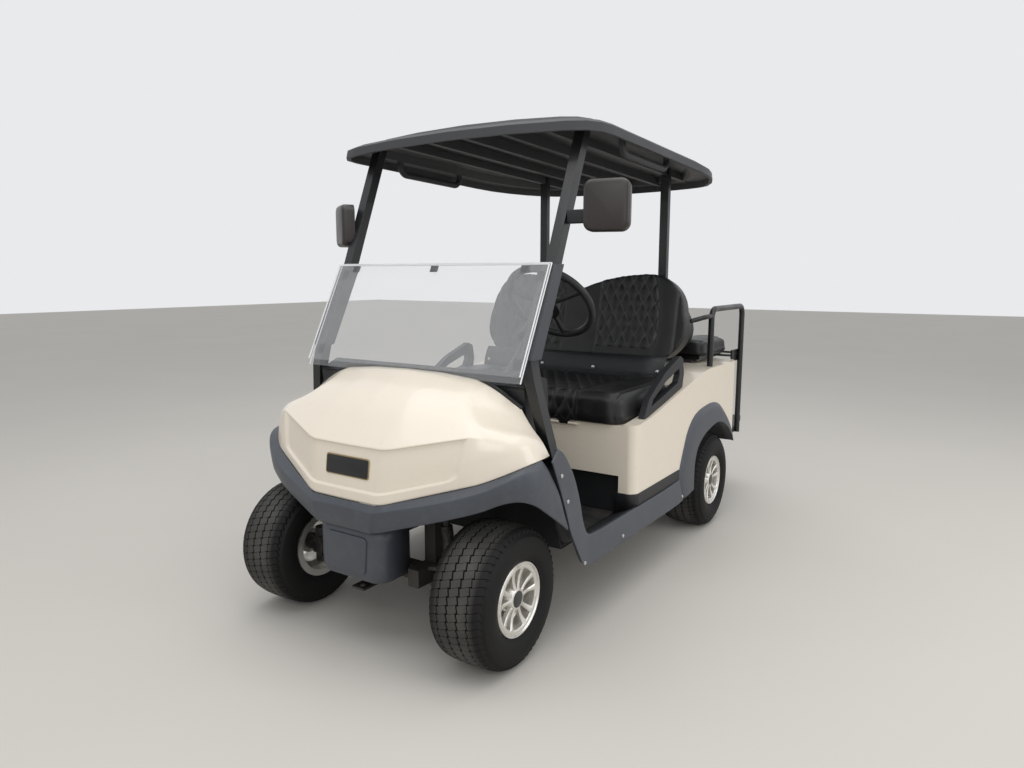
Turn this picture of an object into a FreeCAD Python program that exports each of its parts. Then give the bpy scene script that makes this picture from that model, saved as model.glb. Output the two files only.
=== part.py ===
import FreeCAD, Part
import math
import os

# A four-seat electric golf cart, forward seat and rear-facing seat, in millimetres.
# It faces -Y, its left side is +X, and Z is up from the floor that it stands on.
# Places along the cart are measured from the middle of the wheelbase, and the saved
# pieces are then set so that Y is zero at the middle of the whole length.

Vec = FreeCAD.Vector

# Stance
WHEELBASE = 1664.0
FRONT_TRACK = 876.0
REAR_TRACK = 978.0
NOSE_OVERHANG = 228.0
TAIL_OVERHANG = 776.0
HALF_WIDTH = 600.0
FRONT_AXLE_Y = -WHEELBASE / 2
REAR_AXLE_Y = WHEELBASE / 2
NOSE_Y = FRONT_AXLE_Y - NOSE_OVERHANG
TAIL_Y = REAR_AXLE_Y + TAIL_OVERHANG
LENGTH_MIDDLE_Y = (NOSE_Y + TAIL_Y) / 2

# Wheels
TYRE_R = 226.0
TYRE_WIDTH = 216.0
TREAD_WIDTH = 184.0
BEAD_R = 101.6
BEAD_WIDTH = 178.0
RIM_FLANGE_R = 119.0
RIM_FLANGE_T = 7.0
RIM_WALL = 6.0
RIM_WELL_R = 84.0
RIM_FACE = 74.0
RIM_FACE_T = 14.0
HUB_R = 46.0
HUB_CAP_R = 27.0
SPOKE_PAIRS = 5
SPINDLE_R = 14.0
RUNNING_FIT = 0.05
BEAD_GAP = 0.2
AXLE_Z = TYRE_R

# Frame and floor
RAIL_X = 195.0
RAIL_WIDTH = 45.0
RAIL_HEIGHT = 60.0
FLOOR_Z = 290.0
FLOOR_T = 6.0
MAT_T = 4.0
MAT_RIBS = 9
MAT_PITCH = 96.0
FLOOR_HALF = 505.0
RAIL_TOP = FLOOR_Z - FLOOR_T
RAIL_BOTTOM = RAIL_TOP - RAIL_HEIGHT
RAIL_RISE = 96.0
RAIL_FRONT_Y = FRONT_AXLE_Y - 110.0
CROSS_MEMBER_SET = 40.0
RAIL_REAR_Y = REAR_AXLE_Y + 300.0
KICK_Y = -70.0
KICK_TOP_Z = 452.0
TOE_FOOT_Y = -520.0
TOE_HEAD_Y = -610.0
TOE_HEAD_Z = 455.0
FIREWALL_Y = -640.0
FIREWALL_Z = 520.0

DASH_HALF = 462.0

# Moulded panels
WALL = 5.0
PANEL_INSET = 10.0
BODY_HALF = HALF_WIDTH - PANEL_INSET
BODY_FRONT_Y = -110.0
BODY_REAR_Y = 1180.0
BODY_FLOOR_Z = 340.0
SEAT_DECK_Z = 650.0
BATTERY_HEIGHT = 280.0
REAR_DECK_Z = 790.0
BODY_CORNER_R = 40.0
TAIL_CORNER_R = 90.0
REAR_ARCH_R = 278.0

# Front running gear
KINGPIN_SET = 90.0
KINGPIN_X = FRONT_TRACK / 2 - KINGPIN_SET
KINGPIN_R = 11.0
KINGPIN_BOTTOM = 163.0
KINGPIN_TOP = 294.0
EYE_R = 24.0
EYE_HEIGHT = 30.0
EYE_GAP = 1.0
STEER_ARM_REACH = 110.0
STEER_ARM_INSET = 48.0
STEER_ARM_Z = 212.0
STEER_ARM_T = 12.0
LEAF_WIDTH = 60.0
LEAF_PACK = 18.0
TIE_ROD_Z = 192.0
TIE_ROD_R = 8.0
TIE_BALL_R = 13.0
TIE_END_LENGTH = 56.0
RACK_R = 14.0

# Rear running gear
AXLE_TUBE_R = 36.0
AXLE_SHAFT_R = 15.0
SPRING_X = 270.0
SPRING_WIDTH = 45.0
SPRING_REACH = 300.0
SPRING_PACK = 14.0
SPRING_EYE_Z = 300.0
SPRING_EYE_R = 16.0

FRONT_SHOCK_FOOT = Vec(262.0, FRONT_AXLE_Y, 285.3)
FRONT_SHOCK_TOP = Vec(236.0, FRONT_AXLE_Y, RAIL_TOP + 216.0)
REAR_SHOCK_FOOT = Vec(322.0, REAR_AXLE_Y + 56.6, 236.0)
REAR_SHOCK_TOP = Vec(276.0, REAR_AXLE_Y + 80.0, RAIL_TOP + RAIL_RISE + 120.0)
SHOCK_R = 20.0
TOW_Z = 190.0
TOW_T = 8.0
TOW_HALF = 28.0
TOW_REACH = 96.0
TOW_HOLE_R = 10.0

# Steering wheel and column
WHEEL_HUB = Vec(280.0, -235.0, 1120.0)
WHEEL_R = 168.0
WHEEL_GRIP_R = 14.0
COLUMN_LEAN = 42.0
COLUMN_R = 22.0
COLUMN_GAP = 42.0
COLUMN_LENGTH = 560.0
STEER_SHAFT_R = 9.0

# Struts, windshield and roof
STRUT_WIDTH = 38.0
STRUT_DEPTH = 44.0
COVER_T = 6.0
REAR_STRUT_X = 332.0
REAR_STRUT_Y = 745.0
REAR_STRUT_WIDTH = 40.0
REAR_STRUT_DEPTH = 30.0
PANE_T = 5.0
PANE_HALF = 478.0
PANE_BOTTOM_Z = 884.0
PANE_TOP_Z = 1262.0
PANE_OFFSET = 31.0
FOLD_GAP = 9.0
CLIP_HEIGHT = 36.0
ROOF_HALF = 592.0
ROOF_FRONT_Y = -494.0
ROOF_REAR_Y = 1126.0
ROOF_Z = 1684.0
ROOF_DROP = 43.0
ROOF_ARCH = 15.0
ROOF_LIP = 30.0
ROOF_CROWN = 76.0
ROOF_WALL = 12.0
STRUT_SINK = 16.0
HANDLE_HANG = 30.0
MIRROR_X = 620.0
MIRROR_Z = 1446.0
MIRROR_CORNER_R = 26.0

# Seats and rear seat kit
SEAT_INSET = 62.0
SEAT_HALF = BODY_HALF - SEAT_INSET
SEAT_FRONT_Y = -130.0
SEAT_REAR_Y = 395.0
SEAT_THICK = 122.0
SEAT_SEAT_GAP = 0.3
SEAT_SIDE_GAP = 6.0
SEAT_HINGE_X = 280.0
SEAT_HINGE_Y = -118.0
SEAT_HINGE_Z = 640.0
SEAT_HINGE_R = 6.0
SEAT_LUG = 40.0
SEAT_LUG_GAP = 1.0
HIP_GAP = 22.0
HIP_T = 28.0
BACK_HALF = 533.0
BACK_THICK = 78.0
BACK_FOOT_Y = 560.0
BACK_FOOT_Z = 800.0
BACK_LEAN = 12.0
BACK_HEIGHT = 436.0
BACK_BAR_LOW_Z = 880.0
BACK_BAR_HIGH_Z = 1070.0
BACK_BAR_R = 14.0
SEAT_BOARD_GAP = 8.0
SEAT_BOARD_T = 12.0
SEAT_BOARD_HALF = 440.0
REAR_BACK_HALF = 450.0
REAR_BACK_FOOT_Y = 815.0
REAR_BACK_FOOT_Z = 850.0
REAR_BACK_HEIGHT = 258.0
REAR_BACK_THICK = 72.0
REAR_BACK_LEAN = -6.0
FLIP_HINGE_Y = 1275.0
FLIP_HINGE_Z = 815.0
FLIP_PIN_R = 6.0
DECK_FRONT_Y = 915.0
DECK_T = 12.0
DECK_HALF = 468.0
REAR_CUSHION_HALF = 500.0
REAR_CUSHION_T = 78.0
RAIL_TUBE_R = 14.0
SIDE_RAIL_X = 560.0
SIDE_RAIL_TOP_Z = 1062.0
STEP_Z = 420.0
STEP_T = 34.0
STEP_FRONT_Y = 1186.0
STEP_TAPER_Y = 1300.0
STEP_HALF = 552.0
STEP_REAR_HALF = 486.0


def block(x0, x1, y0, y1, z0, z1):
    return Part.makeBox(x1 - x0, y1 - y0, z1 - z0, Vec(x0, y0, z0))


def mirrored(shape):
    return shape.mirror(Vec(0, 0, 0), Vec(1, 0, 0))


def both_sides(shape):
    return [shape, mirrored(shape)]


def rod(start, end, radius):
    along = end.sub(start)
    return Part.makeCylinder(radius, along.Length, start, along)


def face_of(points):
    return Part.Face(Part.makePolygon(list(points) + [points[0]]))


def side_profile(points, x0, x1):
    """A plate with the given (y, z) outline, from x0 to x1."""
    return face_of([Vec(x0, y, z) for y, z in points]).extrude(Vec(x1 - x0, 0, 0))


def front_profile(points, y0, y1):
    """A plate with the given (x, z) outline, from y0 to y1."""
    return face_of([Vec(x, y0, z) for x, z in points]).extrude(Vec(0, y1 - y0, 0))


def rounded_plan(half, y0, y1, front_r, rear_r, z):
    """A closed outline in plan, with its own corner radius at the front and at the rear."""
    quarter = math.sqrt(0.5)
    corners = [
        (half, y0, front_r, 1, 1),
        (half, y1, rear_r, 1, -1),
        (-half, y1, rear_r, -1, -1),
        (-half, y0, front_r, -1, 1),
    ]
    edges = []
    last = None
    first = None
    for x, y, r, side, inward in corners:
        centre = Vec(x - side * r, y + inward * r, z)
        along_y = Vec(x, y + inward * r, z)
        along_x = Vec(x - side * r, y, z)
        middle = centre.add(Vec(side * r * quarter, -inward * r * quarter, 0))
        enters_on_x = side * inward > 0
        start = along_x if enters_on_x else along_y
        end = along_y if enters_on_x else along_x
        if last is not None:
            edges.append(Part.LineSegment(last, start).toShape())
        else:
            first = start
        edges.append(Part.Arc(start, middle, end).toShape())
        last = end
    edges.append(Part.LineSegment(last, first).toShape())
    return Part.Wire(edges)


def rectangle(x, y, z, width, depth):
    w = width / 2
    d = depth / 2
    corners = [Vec(x - w, y - d, z), Vec(x + w, y - d, z), Vec(x + w, y + d, z), Vec(x - w, y + d, z)]
    return Part.makePolygon(corners + [corners[0]])


def stack(sections, width, depth):
    """A straight-sided bar through level sections, each given by its middle (x, y, z)."""
    return Part.makeLoft([rectangle(x, y, z, width, depth) for x, y, z in sections], True, True)


def strip(points, thickness):
    """The closed outline of a bent sheet: the (a, b) line and its parallel to the right."""
    normals = []
    for (a0, b0), (a1, b1) in zip(points, points[1:]):
        length = math.hypot(a1 - a0, b1 - b0)
        normals.append(((b1 - b0) / length, -(a1 - a0) / length))
    offset = []
    for i, (a, b) in enumerate(points):
        n0 = normals[max(i - 1, 0)]
        n1 = normals[min(i, len(normals) - 1)]
        scale = thickness / (1 + n0[0] * n1[0] + n0[1] * n1[1])
        offset.append((a + (n0[0] + n1[0]) * scale, b + (n0[1] + n1[1]) * scale))
    return list(points) + offset[::-1]


def bent_tube(points, radius, bend):
    """A round bar along straight runs, each corner an arc of radius bend that meets both runs."""
    points = [Vec(*p) for p in points]
    edges = []
    start = points[0]
    for before, corner, after in zip(points, points[1:], points[2:]):
        into = before.sub(corner).normalize()
        out = after.sub(corner).normalize()
        half = into.getAngle(out) / 2
        reach = bend / math.tan(half)
        tangent_in = corner.add(Vec(into).multiply(reach))
        tangent_out = corner.add(Vec(out).multiply(reach))
        bisector = into.add(out).normalize()
        middle = corner.add(bisector.multiply(bend / math.sin(half) - bend))
        edges.append(Part.LineSegment(start, tangent_in).toShape())
        edges.append(Part.Arc(tangent_in, middle, tangent_out).toShape())
        start = tangent_out
    edges.append(Part.LineSegment(start, points[-1]).toShape())
    path = Part.Wire(edges)
    section = Part.Wire([Part.Circle(points[0], points[1].sub(points[0]), radius).toShape()])
    return path.makePipeShell([section], True, False)


def solid_of_rings(rings):
    """A closed solid through a stack of rings with equal counts of corners, in flat triangles."""
    faces = []
    count = len(rings[0])
    for lower, upper in zip(rings, rings[1:]):
        for i in range(count):
            j = (i + 1) % count
            for triple in ((lower[i], lower[j], upper[j]), (lower[i], upper[j], upper[i])):
                faces.append(face_of(triple))
    for ring in (rings[0], rings[-1]):
        middle = Vec(0, 0, 0)
        for point in ring:
            middle = middle.add(point)
        middle = middle.multiply(1.0 / count)
        for i in range(count):
            faces.append(face_of((ring[i], ring[(i + 1) % count], middle)))
    solid = Part.makeSolid(Part.makeShell(faces))
    if solid.Volume < 0:
        solid.reverse()
    return solid


def across_nose(half, rear_y):
    """A whole row of the nose, right to left, from its left half, ending at rear_y."""
    left = [Vec(x, min(y, rear_y), z) for x, y, z in half]
    return [Vec(-v.x, v.y, v.z) for v in left[:0:-1]] + left


def panel(rows, wall, level_row):
    """A sheet of one wall thickness behind a grid of points, in flat triangles, closed at its edges.

    The row named level_row is as high inside as outside, to meet its neighbour flat.
    """
    height = len(rows)
    width = len(rows[0])
    normals = [[Vec(0, 0, 0) for _ in range(width)] for _ in range(height)]
    cells = []
    for i in range(height - 1):
        for j in range(width - 1):
            cells.append(((i, j), (i, j + 1), (i + 1, j + 1)))
            cells.append(((i, j), (i + 1, j + 1), (i + 1, j)))
    for cell in cells:
        a, b, c = [rows[i][j] for i, j in cell]
        normal = b.sub(a).cross(c.sub(a))
        for i, j in cell:
            normals[i][j] = normals[i][j].add(normal)
    for normal in normals[level_row]:
        normal.z = 0
    inner = []
    for i in range(height):
        inner.append([rows[i][j].sub(Vec(normals[i][j]).normalize().multiply(wall)) for j in range(width)])
    faces = []
    for cell in cells:
        faces.append(face_of([rows[i][j] for i, j in cell]))
        faces.append(face_of([inner[i][j] for i, j in cell[::-1]]))
    around = [(0, j) for j in range(width)]
    around += [(i, width - 1) for i in range(1, height)]
    around += [(height - 1, j) for j in range(width - 2, -1, -1)]
    around += [(i, 0) for i in range(height - 2, 0, -1)]
    for (i, j), (k, m) in zip(around, around[1:] + around[:1]):
        faces.append(face_of([rows[k][m], rows[i][j], inner[i][j]]))
        faces.append(face_of([rows[k][m], inner[i][j], inner[k][m]]))
    solid = Part.makeSolid(Part.makeShell(faces))
    if solid.Volume < 0:
        solid.reverse()
    return solid


def nose_ring(half, inset, lift):
    """A whole ring of the nose from its left half, moved in by the wall and up by lift."""
    left = []
    for x, y, z in half:
        left.append(Vec(max(x - inset, 0), y + inset, z + lift))
    right = [Vec(-p.x, p.y, p.z) for p in left[::-1] if p.x > 0]
    return left + right


def edges_along(shape, direction):
    """The straight edges of a shape that run along a direction."""
    return [e for e in shape.Edges if abs(e.tangentAt(e.FirstParameter).dot(direction)) > 0.9]


def largest(shape):
    """The biggest solid of a cut shape, without the slivers that the cut leaves."""
    return max(shape.Solids, key=lambda part: part.Volume)


def save(node, *shapes):
    """Writes one sub-part, its places counted from the middle of the whole length."""
    solids = []
    for shape in shapes:
        solids.extend(shape.Solids)
    whole = solids[0].copy() if len(solids) == 1 else Part.makeCompound(solids)
    whole.translate(Vec(0, -LENGTH_MIDDLE_Y, 0))
    whole.exportStep(os.path.join("parts", node + ".step"))


# Wheels

def revolved(profile, centre_x, y, side):
    """Turns (along the axle outwards, radius) points about the axle through centre_x."""
    points = [Vec(centre_x + side * a, y, AXLE_Z + r) for a, r in profile]
    return face_of(points).revolve(Vec(centre_x, y, AXLE_Z), Vec(1, 0, 0), 360)


def tyre(centre_x, y, side):
    tread = TREAD_WIDTH / 2
    wide = TYRE_WIDTH / 2
    bead = BEAD_WIDTH / 2
    shoulder_r = TYRE_R - 12.0
    bulge_r = (TYRE_R + BEAD_R) / 2 + 6.0
    foot_r = BEAD_R + 20.0
    half = [(0, TYRE_R), (tread * 0.72, TYRE_R - 2.0), (tread, shoulder_r), (wide - 3.0, bulge_r + 22.0),
            (wide, bulge_r), (wide - 8.0, foot_r), (bead - 0.5, RIM_FLANGE_R + 0.6),
            (bead - 0.5, BEAD_R + BEAD_GAP)]
    outline = half + [(-a, r) for a, r in half[:0:-1]]
    return revolved(outline, centre_x, y, side)


def window(inner_r, outer_r, middle_deg, spread_deg, corner_r, x0, x1, y):
    """A cutter for one opening between spokes, a wedge with the given spread and rounded corners."""
    corners = []
    for r, turn in ((inner_r, -0.5), (outer_r, -0.5), (outer_r, 0.5), (inner_r, 0.5)):
        angle = math.radians(middle_deg + turn * spread_deg)
        corners.append((y + r * math.sin(angle), AXLE_Z + r * math.cos(angle)))
    wedge = side_profile(corners, x0, x1)
    return wedge.makeFillet(corner_r, edges_along(wedge, Vec(1, 0, 0)))


def rim(centre_x, y, side, bore_r, bore_depth):
    """An alloy wheel with its hub: a dropped barrel, paired spokes and a blind bearing bore."""
    half_seat = BEAD_WIDTH / 2
    lip = half_seat + RIM_FLANGE_T
    well = half_seat - 42.0
    outer = [(-lip, RIM_FLANGE_R), (-half_seat, RIM_FLANGE_R), (-half_seat, BEAD_R), (-well, BEAD_R),
             (-well + 12.0, RIM_WELL_R), (well - 12.0, RIM_WELL_R), (well, BEAD_R), (half_seat, BEAD_R),
             (half_seat, RIM_FLANGE_R), (lip, RIM_FLANGE_R)]
    inner = [(lip, BEAD_R - RIM_WALL), (well, BEAD_R - RIM_WALL), (well - 12.0, RIM_WELL_R - RIM_WALL),
             (-well + 12.0, RIM_WELL_R - RIM_WALL), (-well, BEAD_R - RIM_WALL), (-lip, BEAD_R - RIM_WALL)]
    barrel = revolved(outer + inner, centre_x, y, side)
    disc_edge = BEAD_R - RIM_WALL + 1.0
    disc = revolved([(RIM_FACE - RIM_FACE_T, 0), (RIM_FACE - RIM_FACE_T, disc_edge), (RIM_FACE, disc_edge),
                     (RIM_FACE + 4.0, HUB_R), (RIM_FACE + 4.0, 0)], centre_x, y, side)
    x0 = centre_x + side * (RIM_FACE - RIM_FACE_T - 2.0)
    x1 = centre_x + side * (RIM_FACE + 6.0)
    pitch = 360.0 / SPOKE_PAIRS
    cutters = []
    for i in range(SPOKE_PAIRS):
        cutters.append(window(HUB_R + 4.0, disc_edge - 7.0, i * pitch, 32.0, 7.0, x0, x1, y))
        cutters.append(window(HUB_R + 10.0, disc_edge - 12.0, (i + 0.5) * pitch, 10.0, 3.0, x0, x1, y))
    disc = disc.cut(Part.makeCompound(cutters))
    hub = revolved([(-26.0, 0), (-26.0, HUB_R), (RIM_FACE - RIM_FACE_T + 1.0, HUB_R),
                    (RIM_FACE - RIM_FACE_T + 1.0, 0)], centre_x, y, side)
    cap = revolved([(RIM_FACE, 0), (RIM_FACE, HUB_CAP_R), (RIM_FACE + 12.0, HUB_CAP_R - 3.0),
                    (RIM_FACE + 14.0, 0)], centre_x, y, side)
    bore = revolved([(-28.0, 0), (-28.0, bore_r), (bore_depth, bore_r), (bore_depth, 0)], centre_x, y, side)
    return barrel.fuse([disc, hub, cap]).cut(bore).removeSplitter()


def wheels():
    places = [
        ("front_left", 1, FRONT_TRACK / 2, FRONT_AXLE_Y, SPINDLE_R),
        ("front_right", -1, FRONT_TRACK / 2, FRONT_AXLE_Y, SPINDLE_R),
        ("rear_left", 1, REAR_TRACK / 2, REAR_AXLE_Y, AXLE_SHAFT_R),
        ("rear_right", -1, REAR_TRACK / 2, REAR_AXLE_Y, AXLE_SHAFT_R),
    ]
    for name, side, half_track, y, shaft_r in places:
        save("tyre_" + name, tyre(side * half_track, y, side))
        save("rim_" + name, rim(side * half_track, y, side, shaft_r + RUNNING_FIT, 42.0))


# Running gear

def knuckle(side):
    """The upright that turns on the kingpin, with the wheel's spindle and the steering arm."""
    y = FRONT_AXLE_Y
    low = KINGPIN_BOTTOM + EYE_HEIGHT + EYE_GAP + 2.0
    high = KINGPIN_TOP - EYE_HEIGHT - EYE_GAP - 2.0
    pin = Part.makeCylinder(KINGPIN_R, KINGPIN_TOP - KINGPIN_BOTTOM, Vec(KINGPIN_X, y, KINGPIN_BOTTOM))
    body = block(KINGPIN_X - 24, KINGPIN_X + 24, y - 24, y + 24, low, high)
    spindle = rod(Vec(KINGPIN_X, y, AXLE_Z), Vec(FRONT_TRACK / 2 + 40.0, y, AXLE_Z), SPINDLE_R)
    flange = rod(Vec(KINGPIN_X + 20, y, AXLE_Z), Vec(FRONT_TRACK / 2 - 34.0, y, AXLE_Z), 30.0)
    end = Vec(KINGPIN_X - STEER_ARM_INSET, y + STEER_ARM_REACH, STEER_ARM_Z)
    arm = face_of([Vec(KINGPIN_X - 18, y + 10, STEER_ARM_Z), Vec(KINGPIN_X + 10, y + 22, STEER_ARM_Z),
                   Vec(end.x + 12, end.y + 4, STEER_ARM_Z), Vec(end.x - 12, end.y - 4, STEER_ARM_Z)])
    arm = arm.extrude(Vec(0, 0, STEER_ARM_T))
    eye = Part.makeCylinder(14.0, STEER_ARM_T, end)
    ball_at = Vec(end.x, end.y, TIE_ROD_Z)
    stud = Part.makeCylinder(6.0, STEER_ARM_Z - TIE_ROD_Z + 1, ball_at)
    ball = Part.makeSphere(TIE_BALL_R, ball_at)
    rod_end = rod(ball_at, ball_at.add(Vec(-TIE_END_LENGTH, 0, 0)), TIE_ROD_R)
    whole = pin.fuse([body, spindle, flange, arm, eye, stud, ball, rod_end]).removeSplitter()
    return whole if side > 0 else mirrored(whole)


def front_axle():
    """A leaf pack across the cart with an arm above it on each side; eyes hold the kingpins."""
    y = FRONT_AXLE_Y
    flat = RAIL_X + RAIL_WIDTH / 2
    centre_z = RAIL_BOTTOM
    eye_z = KINGPIN_BOTTOM + EYE_GAP + 1.0
    end_x = KINGPIN_X - EYE_R + 6.0
    end_top = eye_z + EYE_HEIGHT - 5.0
    end_low = end_top - LEAF_PACK
    flat_low = centre_z - LEAF_PACK
    outline = [(-end_x, end_low), (-flat, flat_low), (flat, flat_low), (end_x, end_low), (end_x, end_top),
               (flat, centre_z), (-flat, centre_z), (-end_x, end_top)]
    leaf = front_profile(outline, y - LEAF_WIDTH / 2, y + LEAF_WIDTH / 2)
    pieces = []
    bores = []
    upper_z = KINGPIN_TOP - EYE_HEIGHT - 1.0
    for side in (1, -1):
        x = side * KINGPIN_X
        pieces.append(Part.makeCylinder(EYE_R, EYE_HEIGHT, Vec(x, y, eye_z)))
        pieces.append(Part.makeCylinder(EYE_R, EYE_HEIGHT, Vec(x, y, upper_z)))
        inner = side * (RAIL_X + RAIL_WIDTH / 2)
        outer = side * (KINGPIN_X - EYE_R + 6.0)
        arm = face_of([Vec(inner, y - 62, upper_z + 8), Vec(outer, y - 16, upper_z + 8),
                       Vec(outer, y + 16, upper_z + 8), Vec(inner, y + 62, upper_z + 8)])
        pieces.append(arm.extrude(Vec(0, 0, 12)))
        bores.append(Part.makeCylinder(KINGPIN_R + RUNNING_FIT, 200, Vec(x, y, KINGPIN_BOTTOM - 20)))
    return leaf.fuse(pieces).cut(Part.makeCompound(bores)).removeSplitter()


def steering_rack():
    y = FRONT_AXLE_Y + STEER_ARM_REACH
    flat = RAIL_X + RAIL_WIDTH / 2
    housing = rod(Vec(-flat, y, TIE_ROD_Z), Vec(flat, y, TIE_ROD_Z), RACK_R)
    pinion_top = TIE_ROD_Z + 2.4 * RACK_R
    pieces = [Part.makeCylinder(1.6 * RACK_R, 4 * RACK_R, Vec(RAIL_X / 2, y, pinion_top - 4 * RACK_R))]
    for side in (1, -1):
        x0 = side * RAIL_X - RAIL_WIDTH / 2
        pieces.append(block(x0, x0 + RAIL_WIDTH, y - 18, y + 18, TIE_ROD_Z, RAIL_BOTTOM))
    return housing.fuse(pieces).removeSplitter()


def rear_axle():
    """Axle tubes with the gear case between them and the drive motor behind it."""
    y = REAR_AXLE_Y
    tube_end = REAR_TRACK / 2 - 40.0
    tubes = rod(Vec(-tube_end, y, AXLE_Z), Vec(tube_end, y, AXLE_Z), AXLE_TUBE_R)
    shaft_end = REAR_TRACK / 2 + 40.0
    shaft = rod(Vec(-shaft_end, y, AXLE_Z), Vec(shaft_end, y, AXLE_Z), AXLE_SHAFT_R)
    case = Part.makeCone(62.0, 92.0, 60.0, Vec(-20, y, AXLE_Z), Vec(1, 0, 0))
    case_back = Part.makeCone(92.0, 58.0, 70.0, Vec(40, y, AXLE_Z), Vec(1, 0, 0))
    gears = block(30, 100, y, y + 190, AXLE_Z - 40, AXLE_Z + 70)
    motor = rod(Vec(-190, y + 190, AXLE_Z + 10), Vec(30, y + 190, AXLE_Z + 10), 76.0)
    end_cap = rod(Vec(-206, y + 190, AXLE_Z + 10), Vec(-190, y + 190, AXLE_Z + 10), 56.0)
    cover = rod(Vec(30, y + 190, AXLE_Z + 10), Vec(104, y + 190, AXLE_Z + 10), 70.0)
    return tubes.fuse([shaft, case, case_back, gears, motor, end_cap, cover]).removeSplitter()


def leaf_spring(side):
    """One bowed leaf pack under the axle tube, with a rolled eye at each end."""
    y = REAR_AXLE_Y
    x0 = side * SPRING_X - SPRING_WIDTH / 2
    low = AXLE_Z - AXLE_TUBE_R
    front = y - SPRING_REACH
    back = y + SPRING_REACH
    foot_z = SPRING_EYE_Z - SPRING_PACK
    top = Part.Arc(Vec(x0, front, SPRING_EYE_Z), Vec(x0, y, low), Vec(x0, back, SPRING_EYE_Z))
    under = Part.Arc(Vec(x0, back, foot_z), Vec(x0, y, low - SPRING_PACK), Vec(x0, front, foot_z))
    rear_end = Part.LineSegment(top.EndPoint, under.StartPoint)
    front_end = Part.LineSegment(under.EndPoint, top.StartPoint)
    outline = Part.Wire([line.toShape() for line in (top, rear_end, under, front_end)])
    pack = Part.Face(outline).extrude(Vec(SPRING_WIDTH, 0, 0))
    eyes = []
    eye_z = SPRING_EYE_Z - SPRING_PACK / 2
    for end_y in (front, back):
        eyes.append(rod(Vec(x0, end_y, eye_z), Vec(x0 + SPRING_WIDTH, end_y, eye_z), SPRING_EYE_R))
    return pack.fuse(eyes).removeSplitter()


def spring_hanger(side, y):
    """A bracket out from the frame rail that the spring's eye hangs in."""
    inner = side * (RAIL_X + RAIL_WIDTH / 2)
    outer = side * (SPRING_X + SPRING_WIDTH / 2)
    top = RAIL_TOP + RAIL_RISE
    low = SPRING_EYE_Z - SPRING_PACK / 2 + SPRING_EYE_R
    x0, x1 = sorted((inner, outer))
    return block(x0, x1, y - 22, y + 22, low, top - 14)


def shock(low, high, barrel_r):
    """A damper: a thin rod above, a barrel below."""
    middle = low.add(high.sub(low).multiply(0.58))
    return rod(low, middle, barrel_r).fuse(rod(middle, high, barrel_r * 0.62)).removeSplitter()


def shock_tower(side, y, base_z, top):
    """A post on the rail with a plate out over the damper's head."""
    inner = side * (RAIL_X - RAIL_WIDTH / 2)
    outer = side * (RAIL_X + RAIL_WIDTH / 2)
    tip = side * (abs(top.x) + 30.0)
    x0, x1 = sorted((inner, outer))
    post = block(x0, x1, y - 24, y + 24, base_z - 1, top.z + 1)
    x0, x1 = sorted((inner, tip))
    return [post, block(x0, x1, y - 28, y + 28, top.z, top.z + 8)]


def frame_rails():
    """Two box rails with a step up over the rear axle, cross members, hangers and the tow eye."""
    rise_y = REAR_AXLE_Y - 340.0
    low = RAIL_BOTTOM
    rise = RAIL_RISE
    outline = [(RAIL_FRONT_Y, low), (rise_y, low), (rise_y + 120, low + rise), (RAIL_REAR_Y, low + rise),
               (RAIL_REAR_Y, RAIL_TOP + rise), (rise_y + 104, RAIL_TOP + rise), (rise_y - 16, RAIL_TOP),
               (RAIL_FRONT_Y, RAIL_TOP)]
    pieces = []
    inner = RAIL_X - RAIL_WIDTH / 2
    for side in (1, -1):
        x0 = side * RAIL_X - RAIL_WIDTH / 2
        pieces.append(side_profile(outline, x0, x0 + RAIL_WIDTH))
        for eye_y in (REAR_AXLE_Y - SPRING_REACH, REAR_AXLE_Y + SPRING_REACH - 24.0):
            pieces.append(spring_hanger(side, eye_y))
    front = RAIL_FRONT_Y + CROSS_MEMBER_SET
    for y, z in ((front, 0), (-300.0, 0), (180.0, 0), (REAR_AXLE_Y + 255.0, rise)):
        pieces.append(block(-inner - 1, inner + 1, y, y + 40.0, low + z + 6, RAIL_TOP + z - 6))
    y = front
    tow_line = [(y + 4, low + 12), (y + 4, TOW_Z), (y - TOW_REACH, TOW_Z)]
    tow = side_profile(strip(tow_line, TOW_T), -TOW_HALF, TOW_HALF)
    hole = Part.makeCylinder(TOW_HOLE_R, 4 * TOW_T, Vec(0, y - TOW_REACH + 22.0, TOW_Z - TOW_T))
    pieces.append(tow)
    for side in (1, -1):
        pieces.extend(shock_tower(side, FRONT_AXLE_Y, RAIL_TOP, FRONT_SHOCK_TOP))
        pieces.extend(shock_tower(side, REAR_AXLE_Y + 80.0, RAIL_TOP + rise, REAR_SHOCK_TOP))
    return pieces[0].fuse(pieces[1:]).cut(hole).removeSplitter()


# Floor and dash

def floor_pan():
    line = [(KICK_Y, FLOOR_Z), (TOE_FOOT_Y, FLOOR_Z), (TOE_HEAD_Y, TOE_HEAD_Z), (FIREWALL_Y, FIREWALL_Z)]
    return side_profile(strip(line[::-1], FLOOR_T), -FLOOR_HALF, FLOOR_HALF)


def floor_mat():
    top = FLOOR_Z + MAT_T
    mat = block(-FLOOR_HALF + 15, FLOOR_HALF - 15, TOE_FOOT_Y + 12, KICK_Y - 6, FLOOR_Z, top)
    ribs = []
    for i in range(MAT_RIBS):
        x = (i - (MAT_RIBS - 1) / 2) * MAT_PITCH
        ribs.append(block(x - 9, x + 9, TOE_FOOT_Y + 40, KICK_Y - 40, top - 1, top + 3))
    return mat.fuse(ribs).removeSplitter()


def column_axis():
    lean = math.radians(COLUMN_LEAN)
    return Vec(0, -math.cos(lean), -math.sin(lean))


def along_column(distance):
    return WHEEL_HUB.add(column_axis().multiply(distance))


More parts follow.
